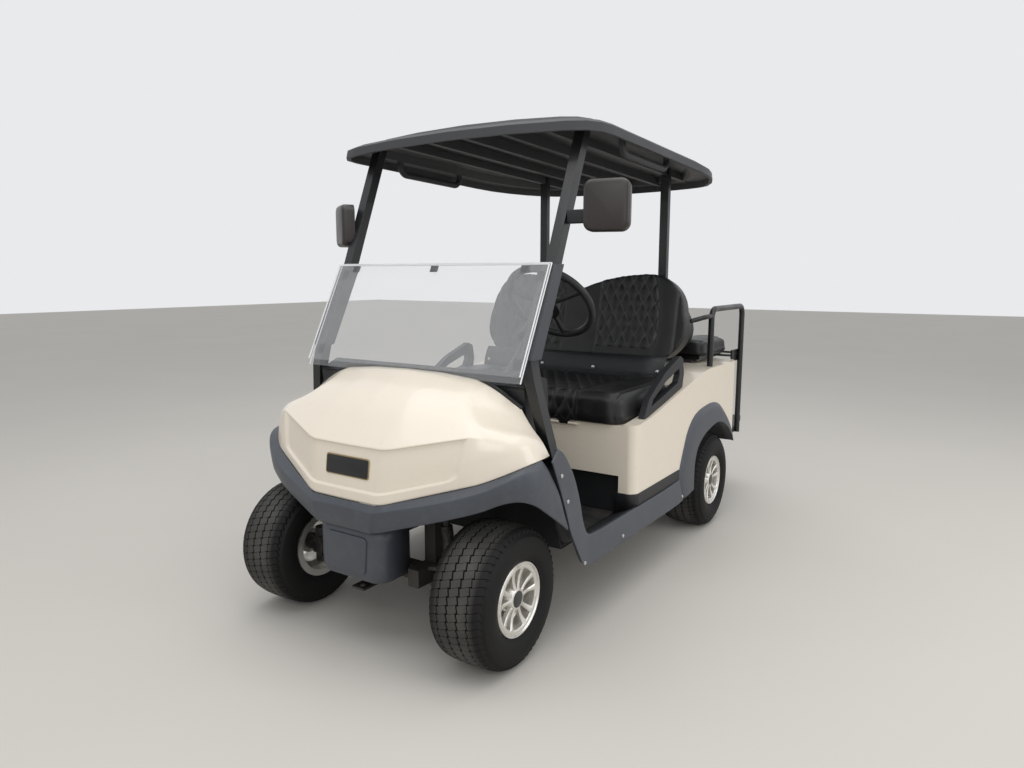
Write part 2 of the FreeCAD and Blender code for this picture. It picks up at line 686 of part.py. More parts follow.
def steering_column():
    tube = rod(along_column(COLUMN_GAP), along_column(COLUMN_LENGTH), COLUMN_R)
    shroud = Part.makeCone(34.0, 46.0, 150.0, along_column(COLUMN_GAP + 8.0), column_axis())
    bore = rod(along_column(COLUMN_GAP - 5), along_column(COLUMN_GAP + 90.0), STEER_SHAFT_R + RUNNING_FIT)
    return tube.fuse(shroud).cut(bore).removeSplitter()


def steering_wheel():
    axis = column_axis()
    rim_ring = Part.makeTorus(WHEEL_R, WHEEL_GRIP_R, WHEEL_HUB, axis)
    hub = Part.makeCone(40.0, 52.0, 46.0, along_column(-12.0), axis)
    shaft = rod(along_column(30.0), along_column(COLUMN_GAP + 80.0), STEER_SHAFT_R)
    across = Vec(1, 0, 0)
    down = across.cross(axis)
    spokes = []
    for turn in (200.0, 340.0, 90.0):
        angle = math.radians(turn)
        out = Vec(across).multiply(math.cos(angle)).add(Vec(down).multiply(math.sin(angle)))
        start = along_column(10.0).add(Vec(out).multiply(30.0))
        end = WHEEL_HUB.add(Vec(out).multiply(WHEEL_R))
        spokes.append(rod(start, end, 9.0))
    return rim_ring.fuse([hub, shaft] + spokes).removeSplitter()


def dash_panel():
    """The moulded dash: a cowl top, a face that leans to the driver and an open tray below it."""
    line = [(-700.0, 868.0), (-620.0, 900.0), (-560.0, 880.0), (-548.0, 800.0), (-600.0, 660.0),
            (-612.0, 600.0), (-540.0, 585.0), (-534.0, 622.0)]
    skin = side_profile(strip(line, WALL), -DASH_HALF, DASH_HALF)
    wall_line = [(FIREWALL_Y, FIREWALL_Z), (-668.0, 640.0), (-700.0, 862.0)]
    wall = side_profile(strip(wall_line, WALL), -DASH_HALF, DASH_HALF)
    tray_floor = side_profile(strip([(-612.0, 600.0), (-659.0, 600.0)], WALL), -DASH_HALF, DASH_HALF)
    dividers = []
    for x in (-DASH_HALF, -170.0, 165.0, DASH_HALF - WALL):
        outline = [(-660.0, 598.0), (-612.0, 598.0), (-600.0, 660.0), (-550.0, 800.0), (-562.0, 878.0),
                   (-620.0, 897.0), (-694.0, 866.0)]
        dividers.append(side_profile(outline, x, x + WALL))
    shape = skin.fuse([wall, tray_floor] + dividers).removeSplitter()
    return shape.cut(rod(along_column(COLUMN_GAP), along_column(COLUMN_LENGTH + 20), COLUMN_R))


def pedals():
    """Brake and accelerator pads on arms that hang from the dash."""
    pieces = []
    walls = [floor_pan(), dash_panel()]
    for x, width in ((190.0, 96.0), (330.0, 62.0)):
        arm = rod(Vec(x, -690.0, 575.0), Vec(x, -566.0, 400.0), 9.0).cut(walls)
        arm = min(arm.Solids, key=lambda part: part.BoundBox.ZMin)
        pad = side_profile(strip([(-545.0, 350.0), (-585.0, 420.0)], 10.0), x - width / 2, x + width / 2)
        pieces.append(arm.fuse(pad).removeSplitter())
    return pieces


# Nose

# Rows of the nose, half of each: out from the middle, back from mid-wheelbase, up.
BAND_LOW = [(0, -1050, 424), (132, -1050, 424), (380, -985, 499), (396, -979, 504), (462, -949, 523),
            (520, -906, 552), (562, -868, 556), (592, -828, 536), (HALF_WIDTH - 2, -745, 400),
            (HALF_WIDTH - 2, FIREWALL_Y, 400)]
BAND_TOP = [(0, NOSE_Y, 492), (140, NOSE_Y, 492), (384, -990, 555), (400, -983, 560), (466, -949, 582),
            (522, -909, 614), (562, -856, 640), (580, -800, 648), (HALF_WIDTH - 14, -745, 628),
            (HALF_WIDTH - 14, FIREWALL_Y, 628)]
SEAM = [(0, -1048, 514), (147, -1046, 514), (380, -955, 582), (396, -948, 587), (450, -926, 603),
        (514, -881, 632), (552, -836, 652), (568, -788, 660), (568, -745, 660), (568, FIREWALL_Y, 660)]
RIDGE = [(0, -1027, 690), (163, -1025, 691), (396, -931, 739), (413, -925, 742), (460, -896, 745),
         (500, -866, 748), (530, -832, 752), (548, -796, 755), (550, -745, 758), (550, FIREWALL_Y, 758)]
HOOD = [(0, -900, 816), (150, -893, 812), (325, -853, 825), (340, -849, 826), (382, -831, 824),
        (424, -807, 820), (456, -784, 818), (476, -758, 819), (482, -735, 822), (482, FIREWALL_Y, 822)]
HOOD_REAR = [(0, -726, 906), (150, -724, 902), (287, -720, 893), (300, -720, 892), (345, -719, 882),
             (380, -718, 874), (404, -717, 868), (418, -717, 865), (424, -716, 864), (428, FIREWALL_Y, 862)]
PANEL_COLUMNS = 3
PANEL_SINK = 9.0
COWL_REAR_Y = -704.0
CHIN_LOW_Z = 246.0
CHIN_HIGH_Z = 440.0
CHIN_TAPER = 0.94
SEAM_GAP = 0.5
ARCH = [(-868, 100), (-868, 556), (-828, 536), (-760, 490), (-689, 443), (-641, 407), (-585, 339),
        (-529, 258), (-500, 100)]
STRIP_LINE = [(-760.0, 700.0), (-760.0, 665.0), (-703.0, 555.0), (-652.0, 435.0), (-640.0, 300.0)]


def cowl_form():
    return solid_of_rings([nose_ring(r, 0, 0) for r in (SEAM, RIDGE, HOOD, HOOD_REAR)])


def face_row(share, sink):
    """A half row part way up from the seam to the ridge, set back by sink inside the front panel."""
    row = []
    for column, (low, high) in enumerate(zip(SEAM, RIDGE)):
        x, y, z = [a + (b - a) * share for a, b in zip(low, high)]
        row.append((x, y + (sink if column < PANEL_COLUMNS else 0), z))
    return row


def front_cowl():
    """The cream nose, with a sunk panel between the ledge over the seam and the crease."""
    seam = [(x, y, z + SEAM_GAP) for x, y, z in SEAM]
    face = [face_row(0.17, 0), face_row(0.22, PANEL_SINK), face_row(0.95, PANEL_SINK)]
    halves = [seam] + face + [RIDGE, HOOD, HOOD_REAR]
    return panel([across_nose(half, COWL_REAR_Y) for half in halves], WALL, 0)


def front_bumper():
    """The bumper band, which widens into the two fenders, a shell open above and below."""
    band = panel([across_nose(half, FIREWALL_Y) for half in (BAND_LOW, BAND_TOP, SEAM)], WALL, 2)
    arch = side_profile(ARCH, 470, 700)
    behind_line = STRIP_LINE + [(-300.0, 300.0), (-300.0, 700.0)]
    behind = side_profile(behind_line, -700, 700)
    return band.cut([arch, mirrored(arch), behind])


def chin_cover():
    """The dark cover under the bumper between the front wheels, bowed forward."""
    plan = [(-150, -880), (-150, -962), (-96, -1000), (96, -1000), (150, -962), (150, -880)]
    plan.append(plan[0])
    lower = Part.makePolygon([Vec(x * CHIN_TAPER, y + 6, CHIN_LOW_Z) for x, y in plan])
    upper = Part.makePolygon([Vec(x, y, CHIN_HIGH_Z) for x, y in plan])
    outer = Part.makeLoft([lower, upper], True, True)
    inside = Part.makeLoft([lower, upper], True, True).translated(Vec(0, WALL, WALL))
    keep = block(-140, 140, -1100, -800, 0, 600)
    behind = block(-200, 200, RAIL_FRONT_Y + CROSS_MEMBER_SET, -700, 100, 600)
    return outer.cut(inside.common(keep)).cut(behind)


def side_sill(side):
    """The V-shaped rocker moulding from the front fender's rear edge to the rear fender."""
    outline = [(-749, 655), (-645, 434), (-641, 407), (-585, 339), (-529, 258), (-505, 236), (520, 205),
               (520, 346), (-420, 298), (-500, 330), (-535, 385), (-575, 490), (-618, 585), (-671, 630),
               (-697, 653)]
    outer = side_profile(outline, 545, HALF_WIDTH)
    slope = front_profile([(HALF_WIDTH + 1, 262), (HALF_WIDTH + 1, 420), (500, 420), (500, 310)], -440, 530)
    hollow = side_profile(outline, 500, HALF_WIDTH - WALL)
    hollow = hollow.common(block(400, 700, -500, 516, 238, 280))
    shape = outer.cut(slope).cut(hollow).cut([cowl_form(), front_strut()])
    shape = largest(shape)
    return shape if side > 0 else mirrored(shape)


# Struts, windshield and roof

STRUT_LINE = [(570, -612, 425), (566, -625, 470), (486, -684, 880), (470, -680, 950), (465, -525, 1265),
              (470, -332, ROOF_Z + ROOF_CROWN - STRUT_SINK)]


def front_strut():
    return stack(STRUT_LINE, STRUT_WIDTH, STRUT_DEPTH)


def strut_at(z):
    """The middle of the front strut at a height, on the runs above its bend."""
    for (x0, y0, z0), (x1, y1, z1) in zip(STRUT_LINE, STRUT_LINE[1:]):
        if z0 <= z <= z1:
            part = (z - z0) / (z1 - z0)
            return x0 + (x1 - x0) * part, y0 + (y1 - y0) * part
    return STRUT_LINE[-1][0], STRUT_LINE[-1][1]


def strut_cover():
    """The moulded channel clipped round the strut beside the windshield."""
    levels = [955.0, 1258.0]
    sections = [(strut_at(z)[0], strut_at(z)[1], z) for z in levels]
    outer = stack(sections, STRUT_WIDTH + 2 * COVER_T, STRUT_DEPTH + 2 * COVER_T)
    return outer.cut(front_strut())


def pane_y(z, offset):
    """Where the windshield's plane lies at a height; it follows the strut's lean."""
    low = STRUT_LINE[3]
    high = STRUT_LINE[4]
    slope = (high[1] - low[1]) / (high[2] - low[2])
    return low[1] + (z - low[2]) * slope - offset


def pane(bottom, top, offset):
    line = [(pane_y(bottom, offset), bottom), (pane_y(top, offset), top)]
    return side_profile(strip(line, -PANE_T), -PANE_HALF, PANE_HALF)


def windshield():
    fixed = pane(PANE_BOTTOM_Z, PANE_TOP_Z, PANE_OFFSET)
    folded = pane(PANE_BOTTOM_Z + 22.0, PANE_TOP_Z - 4.0, PANE_OFFSET + PANE_T + FOLD_GAP)
    hood = cowl_form()
    return [fixed.cut(hood), folded.cut(hood)]


def windshield_fittings():
    """Clips at the foot of the panes and spacers at the top, each between glass and strut."""
    pieces = []
    for z in (PANE_BOTTOM_Z + 40.0, PANE_TOP_Z - 60.0):
        a = pane_y(z, PANE_OFFSET)
        b = pane_y(z + CLIP_HEIGHT, PANE_OFFSET)
        outline = [(a - 0.5, z), (b - 0.5, z + CLIP_HEIGHT), (b + 14.0, z + CLIP_HEIGHT), (a + 14.0, z)]
        clip = side_profile(outline, 430.0, 460.0).cut([strut_cover(), front_strut(), windshield()[0]])
        pieces.extend(both_sides(clip))
    fixed, folded = windshield()
    low = PANE_TOP_Z - 30.0
    high = PANE_TOP_Z - 8.0
    outline = [(pane_y(low, PANE_OFFSET + 2.0), low), (pane_y(high, PANE_OFFSET + 2.0), high),
               (pane_y(high, PANE_OFFSET + 16.0), high), (pane_y(low, PANE_OFFSET + 16.0), low)]
    for x in (-400.0, -15.0, 370.0):
        pieces.append(side_profile(outline, x, x + 30.0).cut([fixed, folded]))
    return pieces


def mirror(turn):
    """A housing on two short arms from the left front strut, turned in from straight across."""
    x0, y0 = strut_at(MIRROR_Z)
    body = block(-84, 84, -26, 26, -88, 88)
    body = body.makeFillet(MIRROR_CORNER_R, edges_along(body, Vec(0, 1, 0)))
    body.rotate(Vec(0, 0, 0), Vec(0, 0, 1), turn)
    body.translate(Vec(MIRROR_X, y0 - 20, MIRROR_Z))
    arms = []
    for z in (MIRROR_Z - 26.0, MIRROR_Z + 26.0):
        arms.append(rod(Vec(x0, y0 - 2, z), Vec(MIRROR_X - 20, y0 - 14, z), 7.0))
    return largest(body.fuse(arms).cut(front_strut()).removeSplitter())


def mirror_set():
    return [mirror(18.0), mirrored(mirror(33.0))]


# The canopy's edge, half of it: a share of its half width, and how far back it lies.
ROOF_EDGE = [(0.0, ROOF_FRONT_Y), (0.45, ROOF_FRONT_Y + 5), (0.80, ROOF_FRONT_Y + 18),
             (0.92, ROOF_FRONT_Y + 36), (0.98, ROOF_FRONT_Y + 76), (1.0, ROOF_FRONT_Y + 140), (1.0, ROOF_REAR_Y - 626),
             (0.985, ROOF_REAR_Y - 500), (0.94, ROOF_REAR_Y - 381), (0.87, ROOF_REAR_Y - 266),
             (0.774, ROOF_REAR_Y - 162), (0.68, ROOF_REAR_Y - 112), (0.56, ROOF_REAR_Y - 74),
             (0.42, ROOF_REAR_Y - 44), (0.24, ROOF_REAR_Y - 16), (0.0, ROOF_REAR_Y)]
# Rings of the canopy from its lower edge up: height over the edge, how far in from it.
ROOF_OUTSIDE = [(0, 0), (ROOF_LIP, 4), (44, 26), (46, 50), (40, 72), (ROOF_CROWN - 6, 96),
                (ROOF_CROWN, 130)]
ROOF_INSIDE = [(-3, ROOF_WALL), (ROOF_LIP - 4, ROOF_WALL + 4), (31, 60), (28, 84), (ROOF_CROWN - 18, 108),
               (ROOF_CROWN - ROOF_WALL, 142)]


def roof_ring(rise, inset):
    """The canopy's edge at a height, drawn in all round and arched a little across."""
    middle = (ROOF_FRONT_Y + ROOF_REAR_Y) / 2
    shrink = 1 - inset / ROOF_HALF
    left = []
    for share, y in ROOF_EDGE:
        z = ROOF_Z + rise + ROOF_ARCH * (1 - share * share)
        reach = (abs(y - middle) - inset) / abs(y - middle)
        left.append(Vec(share * ROOF_HALF * shrink, middle + (y - middle) * reach, z))
    return left + [Vec(-v.x, v.y, v.z) for v in left[-2:0:-1]]


def tilt_roof(shape):
    angle = math.degrees(math.atan2(ROOF_DROP, ROOF_REAR_Y - ROOF_FRONT_Y))
    shape.rotate(Vec(0, ROOF_FRONT_Y, ROOF_Z), Vec(1, 0, 0), -angle)
    return shape


def roof():
    """A moulded canopy: a deep lip, a gutter, a raised crown and stiffening ribs underneath."""
    hollow = solid_of_rings([roof_ring(rise, inset) for rise, inset in ROOF_INSIDE])
    shell = solid_of_rings([roof_ring(rise, inset) for rise, inset in ROOF_OUTSIDE]).cut(hollow)
    ribs = []
    y0 = ROOF_FRONT_Y + 60
    y1 = ROOF_REAR_Y - 60
    for x in (-330.0, -165.0, 0.0, 165.0, 330.0):
        rib = block(x - 12, x + 12, y0, y1, ROOF_Z + 36, ROOF_Z + ROOF_CROWN + 20)
        ribs.append(rib.common(hollow))
    return tilt_roof(shell.fuse(ribs).removeSplitter())


def roof_handles():
    """A grab bar that hangs a hand's depth under each side of the canopy."""
    x = ROOF_HALF - 66.0
    top = ROOF_Z + ROOF_CROWN
    low = ROOF_Z - HANDLE_HANG
    grip = bent_tube([(x, -156, top), (x, -156, low), (x, 263, low - 11), (x, 263, top)], 13.0, 40.0)
    grip = min(grip.cut(roof()).Solids, key=lambda part: part.BoundBox.ZMin)
    return both_sides(grip)


def rear_strut():
    levels = [(REAR_STRUT_X, REAR_STRUT_Y, REAR_DECK_Z), (REAR_STRUT_X, REAR_STRUT_Y, ROOF_Z + ROOF_CROWN)]
    return stack(levels, REAR_STRUT_WIDTH, REAR_STRUT_DEPTH)


# Rear body

def body_side(inset):
    front = BODY_FRONT_Y + inset
    rear = BODY_REAR_Y - inset
    deck = REAR_DECK_Z - inset
    return [(front, BODY_FLOOR_Z - 40), (front, SEAT_DECK_Z + 4 - inset), (40, 668 - inset),
            (590, 776 - inset), (700, deck), (rear, deck), (rear, 430), (1029, 430), (REAR_AXLE_Y, 520),
            (560, BODY_FLOOR_Z), (200, BODY_FLOOR_Z - 8), (BODY_FRONT_Y + 60, BODY_FLOOR_Z - 40)]


def body_block(inset):
    plan = rounded_plan(BODY_HALF - inset, BODY_FRONT_Y + inset, BODY_REAR_Y - inset, BODY_CORNER_R - inset,
                        TAIL_CORNER_R - inset, 250.0)
    tall = Part.Face(plan).extrude(Vec(0, 0, 700))
    points = body_side(inset)
    if inset:
        points = points[:6] + [(BODY_REAR_Y - inset, 200), (BODY_FRONT_Y + inset, 200)]
    return tall.common(side_profile(points, -BODY_HALF, BODY_HALF))


def arch_cutter(radius, x0, x1):
    """The rear wheel's opening: round above the axle and straight below it."""
    tall = Part.makeCylinder(radius, x1 - x0, Vec(x0, REAR_AXLE_Y, AXLE_Z), Vec(1, 0, 0))
    return tall.fuse(block(x0, x1, REAR_AXLE_Y - radius, REAR_AXLE_Y + radius, 0, AXLE_Z))


def rear_body():
    """The cream body under the seats: a hollow moulding with a battery bay and wheel openings."""
    shell = body_block(0).cut(body_block(WALL))
    half = SEAT_HALF + SEAT_SIDE_GAP
    back = SEAT_REAR_Y + SEAT_BOARD_GAP + SEAT_BOARD_T
    low = SEAT_DECK_Z - WALL
    seat_recess = block(-half, half, BODY_FRONT_Y - 20, back, SEAT_DECK_Z, REAR_DECK_Z + 110)
    deck = block(-half - WALL, half + WALL, BODY_FRONT_Y + 1, back + WALL, low, SEAT_DECK_Z)
    rim_wall = block(-half - WALL, half + WALL, BODY_FRONT_Y + 2, back + WALL, low, REAR_DECK_Z)
    rim_wall = rim_wall.common(body_block(0)).cut(seat_recess)
    bay = block(-430, 430, BODY_FRONT_Y + 60, SEAT_REAR_Y - 60, SEAT_DECK_Z - 30, SEAT_DECK_Z + 30)
    kick = block(-520, 520, BODY_FRONT_Y - 20, BODY_FRONT_Y + 40, 200, KICK_TOP_Z)
    arch = arch_cutter(REAR_ARCH_R + 40.0, 420, 700)
    shape = shell.cut(seat_recess).fuse([deck.cut(bay), rim_wall]).cut(kick)
    for middle in (SEAT_HINGE_X, -SEAT_HINGE_X):
        for x in (middle - 1.5 * SEAT_LUG - SEAT_LUG_GAP, middle + 0.5 * SEAT_LUG + SEAT_LUG_GAP):
            shape = shape.fuse(hinge_barrel(x, SEAT_LUG, BODY_FRONT_Y + 1.0, SEAT_HINGE_Z))
    return largest(shape.cut(arch).cut(mirrored(arch)).removeSplitter())


def rear_fender(side):
    """The flare over the rear wheel, a raised band round the opening."""
    outline = [(520.5, 205), (520.5, 352), (582, 473), (700, 600), (839, 612), (1029, 470), (1090, 430),
               (1080, 380)]
    flare = side_profile(outline, BODY_HALF + 0.2, HALF_WIDTH + 8.0)
    opening = arch_cutter(REAR_ARCH_R, 500, 700)
    flare = flare.cut(opening)
    axis = Vec(1, 0, 0)
    lining_r = REAR_ARCH_R + 36.0
    below = block(300, 700, 0, 2000, 0, 330)
    lining = Part.makeCylinder(lining_r, 150, Vec(BODY_HALF - 150, REAR_AXLE_Y, AXLE_Z), axis)
    lining = lining.cut([arch_cutter(lining_r - 4.0, 400, 700), below])
    band = Part.makeCylinder(lining_r, 12, Vec(BODY_HALF - 11, REAR_AXLE_Y, AXLE_Z), axis)
    band = band.cut([arch_cutter(REAR_ARCH_R, 400, 700), below])
    shape = largest(flare.fuse([lining, band]).removeSplitter())
    return shape if side > 0 else mirrored(shape)


def kick_panel():
    """The dark recessed board between the floor and the body's front edge."""
    return block(-FLOOR_HALF, FLOOR_HALF, KICK_Y, KICK_Y + WALL, FLOOR_Z - 4, KICK_TOP_Z)


def battery_block():
    return block(-400, 400, 0, 330, RAIL_TOP, RAIL_TOP + BATTERY_HEIGHT)


# Seats

def cushion(half, y0, y1, z0, thick, corner):
    """A seat cushion as a plain pad with softened edges."""
    levels = [(z0, 8.0), (z0 + 0.25 * thick, 0.0), (z0 + 0.8 * thick, 4.0), (z0 + thick, 26.0)]
    wires = [rounded_plan(half - inset, y0 + inset, y1 - inset, corner, corner, z) for z, inset in levels]
    return Part.makeLoft(wires, True, True)


def hinge_barrel(x, length, to_y, to_z):
    """One knuckle of a seat hinge, with a web from its middle back to to_y or up to to_z."""
    start = Vec(x, SEAT_HINGE_Y, SEAT_HINGE_Z)
    barrel = rod(start, start.add(Vec(length, 0, 0)), SEAT_HINGE_R)
    half = SEAT_HINGE_R - 2.0
    if to_y > SEAT_HINGE_Y:
        web = block(x, x + length, SEAT_HINGE_Y, to_y, SEAT_HINGE_Z - half, SEAT_HINGE_Z + half)
    else:
        web = block(x, x + length, SEAT_HINGE_Y - half, SEAT_HINGE_Y + half, SEAT_HINGE_Z, to_z)
    return barrel.fuse(web)


def seat_cushion_front():
    """The lift-up front cushion with a hinge knuckle under each side of its front edge."""
    pad = cushion(SEAT_HALF, SEAT_FRONT_Y, SEAT_REAR_Y, SEAT_DECK_Z + SEAT_SEAT_GAP, SEAT_THICK, 60.0)
    lugs = []
    for side in (1, -1):
        x = side * SEAT_HINGE_X - SEAT_LUG / 2
        lugs.append(hinge_barrel(x, SEAT_LUG, SEAT_HINGE_Y, SEAT_DECK_Z + 10.0))
    return pad.fuse(lugs).removeSplitter()


def two_hump_outline(half, height, y):
    """The backrest's outline in its own plane: a hump at each side and a dip between them."""
    # Left half from the foot up to the dip: share of the half width, share of the height.
    left = [(0.86, 0.0), (1.0, 0.40), (0.97, 0.62), (0.84, 0.92), (0.6, 1.0), (0.27, 0.955), (0.0, 0.85)]
    shares = left + [(-x, z) for x, z in left[-2::-1]]
    points = [Vec(x * half, y, z * height) for x, z in shares]
    edges = [Part.LineSegment(points[-1], points[0])]
    for start, middle, end in zip(points[0::2], points[1::2], points[2::2]):
        edges.append(Part.Arc(start, middle, end))
    return Part.Wire([e.toShape() for e in edges])


def backrest(half, height, thick, foot_y, foot_z, lean):
    pad = Part.Face(two_hump_outline(half, height, 0)).extrude(Vec(0, thick, 0))
    pad.rotate(Vec(0, 0, 0), Vec(1, 0, 0), -lean)
    pad.translate(Vec(0, foot_y, foot_z))
    return pad


def seat_back_front():
    foot_y = BACK_FOOT_Y - BACK_THICK
    return backrest(BACK_HALF, BACK_HEIGHT, BACK_THICK, foot_y, BACK_FOOT_Z, BACK_LEAN)


def seat_back_rear():
    return backrest(REAR_BACK_HALF, REAR_BACK_HEIGHT, REAR_BACK_THICK, REAR_BACK_FOOT_Y,
                    REAR_BACK_FOOT_Z, REAR_BACK_LEAN)


def seat_back_frame():
    """Cross tubes and plates between the rear struts that carry both backrests."""
    pieces = []
    front = seat_back_front()
    rear = seat_back_rear()
    strut = rear_strut()
    bar_y = REAR_STRUT_Y - 32.0
    low = BACK_BAR_LOW_Z - 12.0
    high = BACK_BAR_HIGH_Z + 12.0
    for z in (BACK_BAR_LOW_Z, BACK_BAR_HIGH_Z):
        pieces.append(rod(Vec(-430, bar_y, z), Vec(430, bar_y, z), BACK_BAR_R))
        for x in (-200.0, 200.0):
            pieces.append(block(x - 30, x + 30, 560, 910, z - 12, z + 12))
    for side in (1, -1):
        x = side * REAR_STRUT_X
        pieces.append(block(x - 20, x + 20, bar_y - 2, REAR_STRUT_Y - 10, low, high))
    whole = pieces[0].fuse(pieces[1:]).cut([front, rear, strut, mirrored(strut)])
    return largest(whole.removeSplitter())


def seat_board():
    """The black board behind the front cushion, standing in the seat recess under the backrest."""
    y0 = SEAT_REAR_Y + SEAT_BOARD_GAP
    top = SEAT_DECK_Z + SEAT_THICK + 14.0
    return block(-SEAT_BOARD_HALF, SEAT_BOARD_HALF, y0, y0 + SEAT_BOARD_T, SEAT_DECK_Z, top)


def hip_restraint(side):
    """A moulded loop at the seat's outer end."""
    outer = [(-8, 668), (8, 664), (200, 700), (395, 742), (410, 800), (395, 866), (360, 880), (200, 826),
             (40, 740)]
    inner = [(60, 706), (190, 733), (340, 768), (358, 800), (350, 828), (200, 786), (76, 730)]
    x0 = SEAT_HALF + HIP_GAP
    x1 = x0 + HIP_T
    loop = side_profile(outer, x0, x1).cut(side_profile(inner, x0 - HIP_T, x1 + HIP_T))
    loop = largest(loop.cut(body_block(0)))
    return loop if side > 0 else mirrored(loop)


def side_rail(side):
    """The grab rail beside the rear seat: two legs and a top run in one bent tube."""
    x = SIDE_RAIL_X
    rail = bent_tube([(x, 800, REAR_DECK_Z), (x, 800, SIDE_RAIL_TOP_Z), (x, 1288, SIDE_RAIL_TOP_Z),
                      (x, 1288, STEP_Z - STEP_T)], RAIL_TUBE_R, 46.0)
    arm = bent_tube([(x, 800, 1030), (x, 735, 1030), (x - 60, 700, 1010), (x - 150, 690, 1000)], 11.0, 24.0)
    arm = arm.cut(seat_back_front())
    whole = rail.fuse(arm).removeSplitter()
    return whole if side > 0 else mirrored(whole)


def rear_seat_base():
    """The steel seat frame on the body, with side plates out to the rails' rear legs."""
    top = FLIP_HINGE_Z - DECK_T / 2 - 1.0
    plate = block(-DECK_HALF, DECK_HALF, 880, 1240, top - 8, top)
    pieces = both_sides(block(400, 440, 880, 1170, REAR_DECK_Z, top - 8))
    for side in (1, -1):
        x0, x1 = sorted((side * (DECK_HALF - 30), side * (SIDE_RAIL_X - RAIL_TUBE_R + 2)))
        pieces.append(block(x0, x1, 1190, 1240, top - 8, top))
        x0, x1 = sorted((side * (SIDE_RAIL_X - RAIL_TUBE_R - 8), side * (SIDE_RAIL_X - RAIL_TUBE_R + 2)))
        pieces.append(block(x0, x1, 1190, 1300, top - 34, top + 26))
    whole = plate.fuse(pieces)
    for side in (1, -1):
        whole = whole.cut(side_rail(side))
        start = Vec(side * 500, FLIP_HINGE_Y, FLIP_HINGE_Z)
        whole = whole.cut(rod(start, start.add(Vec(side * 100, 0, 0)), FLIP_PIN_R + RUNNING_FIT))
    return largest(whole.removeSplitter())


def rear_deck():
    """The flip-over cargo deck under the rear cushion, with a hinge pin at its rear edge."""
    z0 = FLIP_HINGE_Z - DECK_T / 2
    plate = block(-DECK_HALF, DECK_HALF, DECK_FRONT_Y, FLIP_HINGE_Y - 16, z0, z0 + DECK_T)
    pieces = []
    for side in (1, -1):
        x0, x1 = sorted((side * (DECK_HALF - 40), side * (DECK_HALF - 28)))
        pieces.append(block(x0, x1, 1150, FLIP_HINGE_Y + 10, z0, z0 + DECK_T))
    pin_end = SIDE_RAIL_X - RAIL_TUBE_R - 1.0
    start = Vec(-pin_end, FLIP_HINGE_Y, FLIP_HINGE_Z)
    pin = rod(start, start.add(Vec(2 * pin_end, 0, 0)), FLIP_PIN_R)
    return plate.fuse(pieces + [pin]).removeSplitter()


def seat_cushion_rear():
    y0 = DECK_FRONT_Y - 6.0
    y1 = FLIP_HINGE_Y - 20.0
    return cushion(REAR_CUSHION_HALF, y0, y1, FLIP_HINGE_Z + DECK_T / 2, REAR_CUSHION_T, 50.0)


def footplate():
    """The ribbed step board for the rear seat, on two arms from the frame."""
    plan = [(-STEP_HALF, STEP_FRONT_Y), (STEP_HALF, STEP_FRONT_Y), (STEP_HALF, STEP_TAPER_Y),
            (STEP_REAR_HALF, TAIL_Y), (-STEP_REAR_HALF, TAIL_Y), (-STEP_HALF, STEP_TAPER_Y)]
    board = face_of([Vec(x, y, STEP_Z - STEP_T) for x, y in plan]).extrude(Vec(0, 0, STEP_T - 4))
    ribs = []
    pitch = 26.0
    count = int((TAIL_Y - STEP_FRONT_Y - 60) / pitch)
    for i in range(count):
        y = STEP_FRONT_Y + 34 + i * pitch
        ribs.append(block(-STEP_REAR_HALF + 24, STEP_REAR_HALF - 24, y, y + 12, STEP_Z - 6, STEP_Z))
    x0 = RAIL_X - RAIL_WIDTH / 2
    arm = block(x0, x0 + RAIL_WIDTH, RAIL_REAR_Y, TAIL_Y - 88, RAIL_BOTTOM + RAIL_RISE + 8, STEP_Z - STEP_T)
    whole = board.fuse(ribs + both_sides(arm))
    for side in (1, -1):
        whole = whole.cut(side_rail(side))
    return largest(whole.removeSplitter())


def build():
    wheels()
    save("knuckle_left", knuckle(1))
    save("knuckle_right", knuckle(-1))
    save("front_axle", front_axle())
    save("steering_rack", steering_rack())
    save("rear_axle", rear_axle())
    save("rear_springs", leaf_spring(1), leaf_spring(-1))
    rails = frame_rails()
    front_shock = shock(FRONT_SHOCK_FOOT, FRONT_SHOCK_TOP, SHOCK_R).cut([rails, front_axle()])
    rear_shock = shock(REAR_SHOCK_FOOT, REAR_SHOCK_TOP, SHOCK_R).cut(rails)
    save("shock_absorbers", *(both_sides(largest(front_shock)) + both_sides(largest(rear_shock))))
    save("frame_rails", rails)
    save("floor_pan", floor_pan())
    save("floor_mat", floor_mat())
    save("steering_column", steering_column())
    save("steering_wheel", steering_wheel())
    save("dash_panel", dash_panel())
    save("pedals", *pedals())
    save("front_cowl", front_cowl())
    save("front_bumper", front_bumper())
    save("chin_cover", chin_cover())
    save("side_sills", side_sill(1), side_sill(-1))
    roof_shape = roof()
    save("roof", roof_shape)
    save("front_struts", *both_sides(largest(front_strut().cut(roof_shape))))
    save("strut_covers", *both_sides(strut_cover()))
    save("windshield", *windshield())
    save("windshield_fittings", *windshield_fittings())
    save("mirrors", *mirror_set())
    save("roof_handles", *roof_handles())
    save("rear_struts", *both_sides(largest(rear_strut().cut(roof_shape))))
    save("rear_body", rear_body())
    save("rear_fenders", rear_fender(1), rear_fender(-1))
    save("kick_panel", kick_panel())
    save("battery_block", battery_block())
    save("seat_cushion_front", seat_cushion_front())
    save("seat_back_front", seat_back_front())
    save("seat_back_rear", seat_back_rear())
    save("seat_back_frame", seat_back_frame())
    save("seat_board", seat_board())
    save("hip_restraints", hip_restraint(1), hip_restraint(-1))
    save("side_rails", side_rail(1), side_rail(-1))
    save("rear_seat_base", rear_seat_base())
    save("rear_deck", rear_deck())
    save("seat_cushion_rear", seat_cushion_rear())
    save("footplate", footplate())


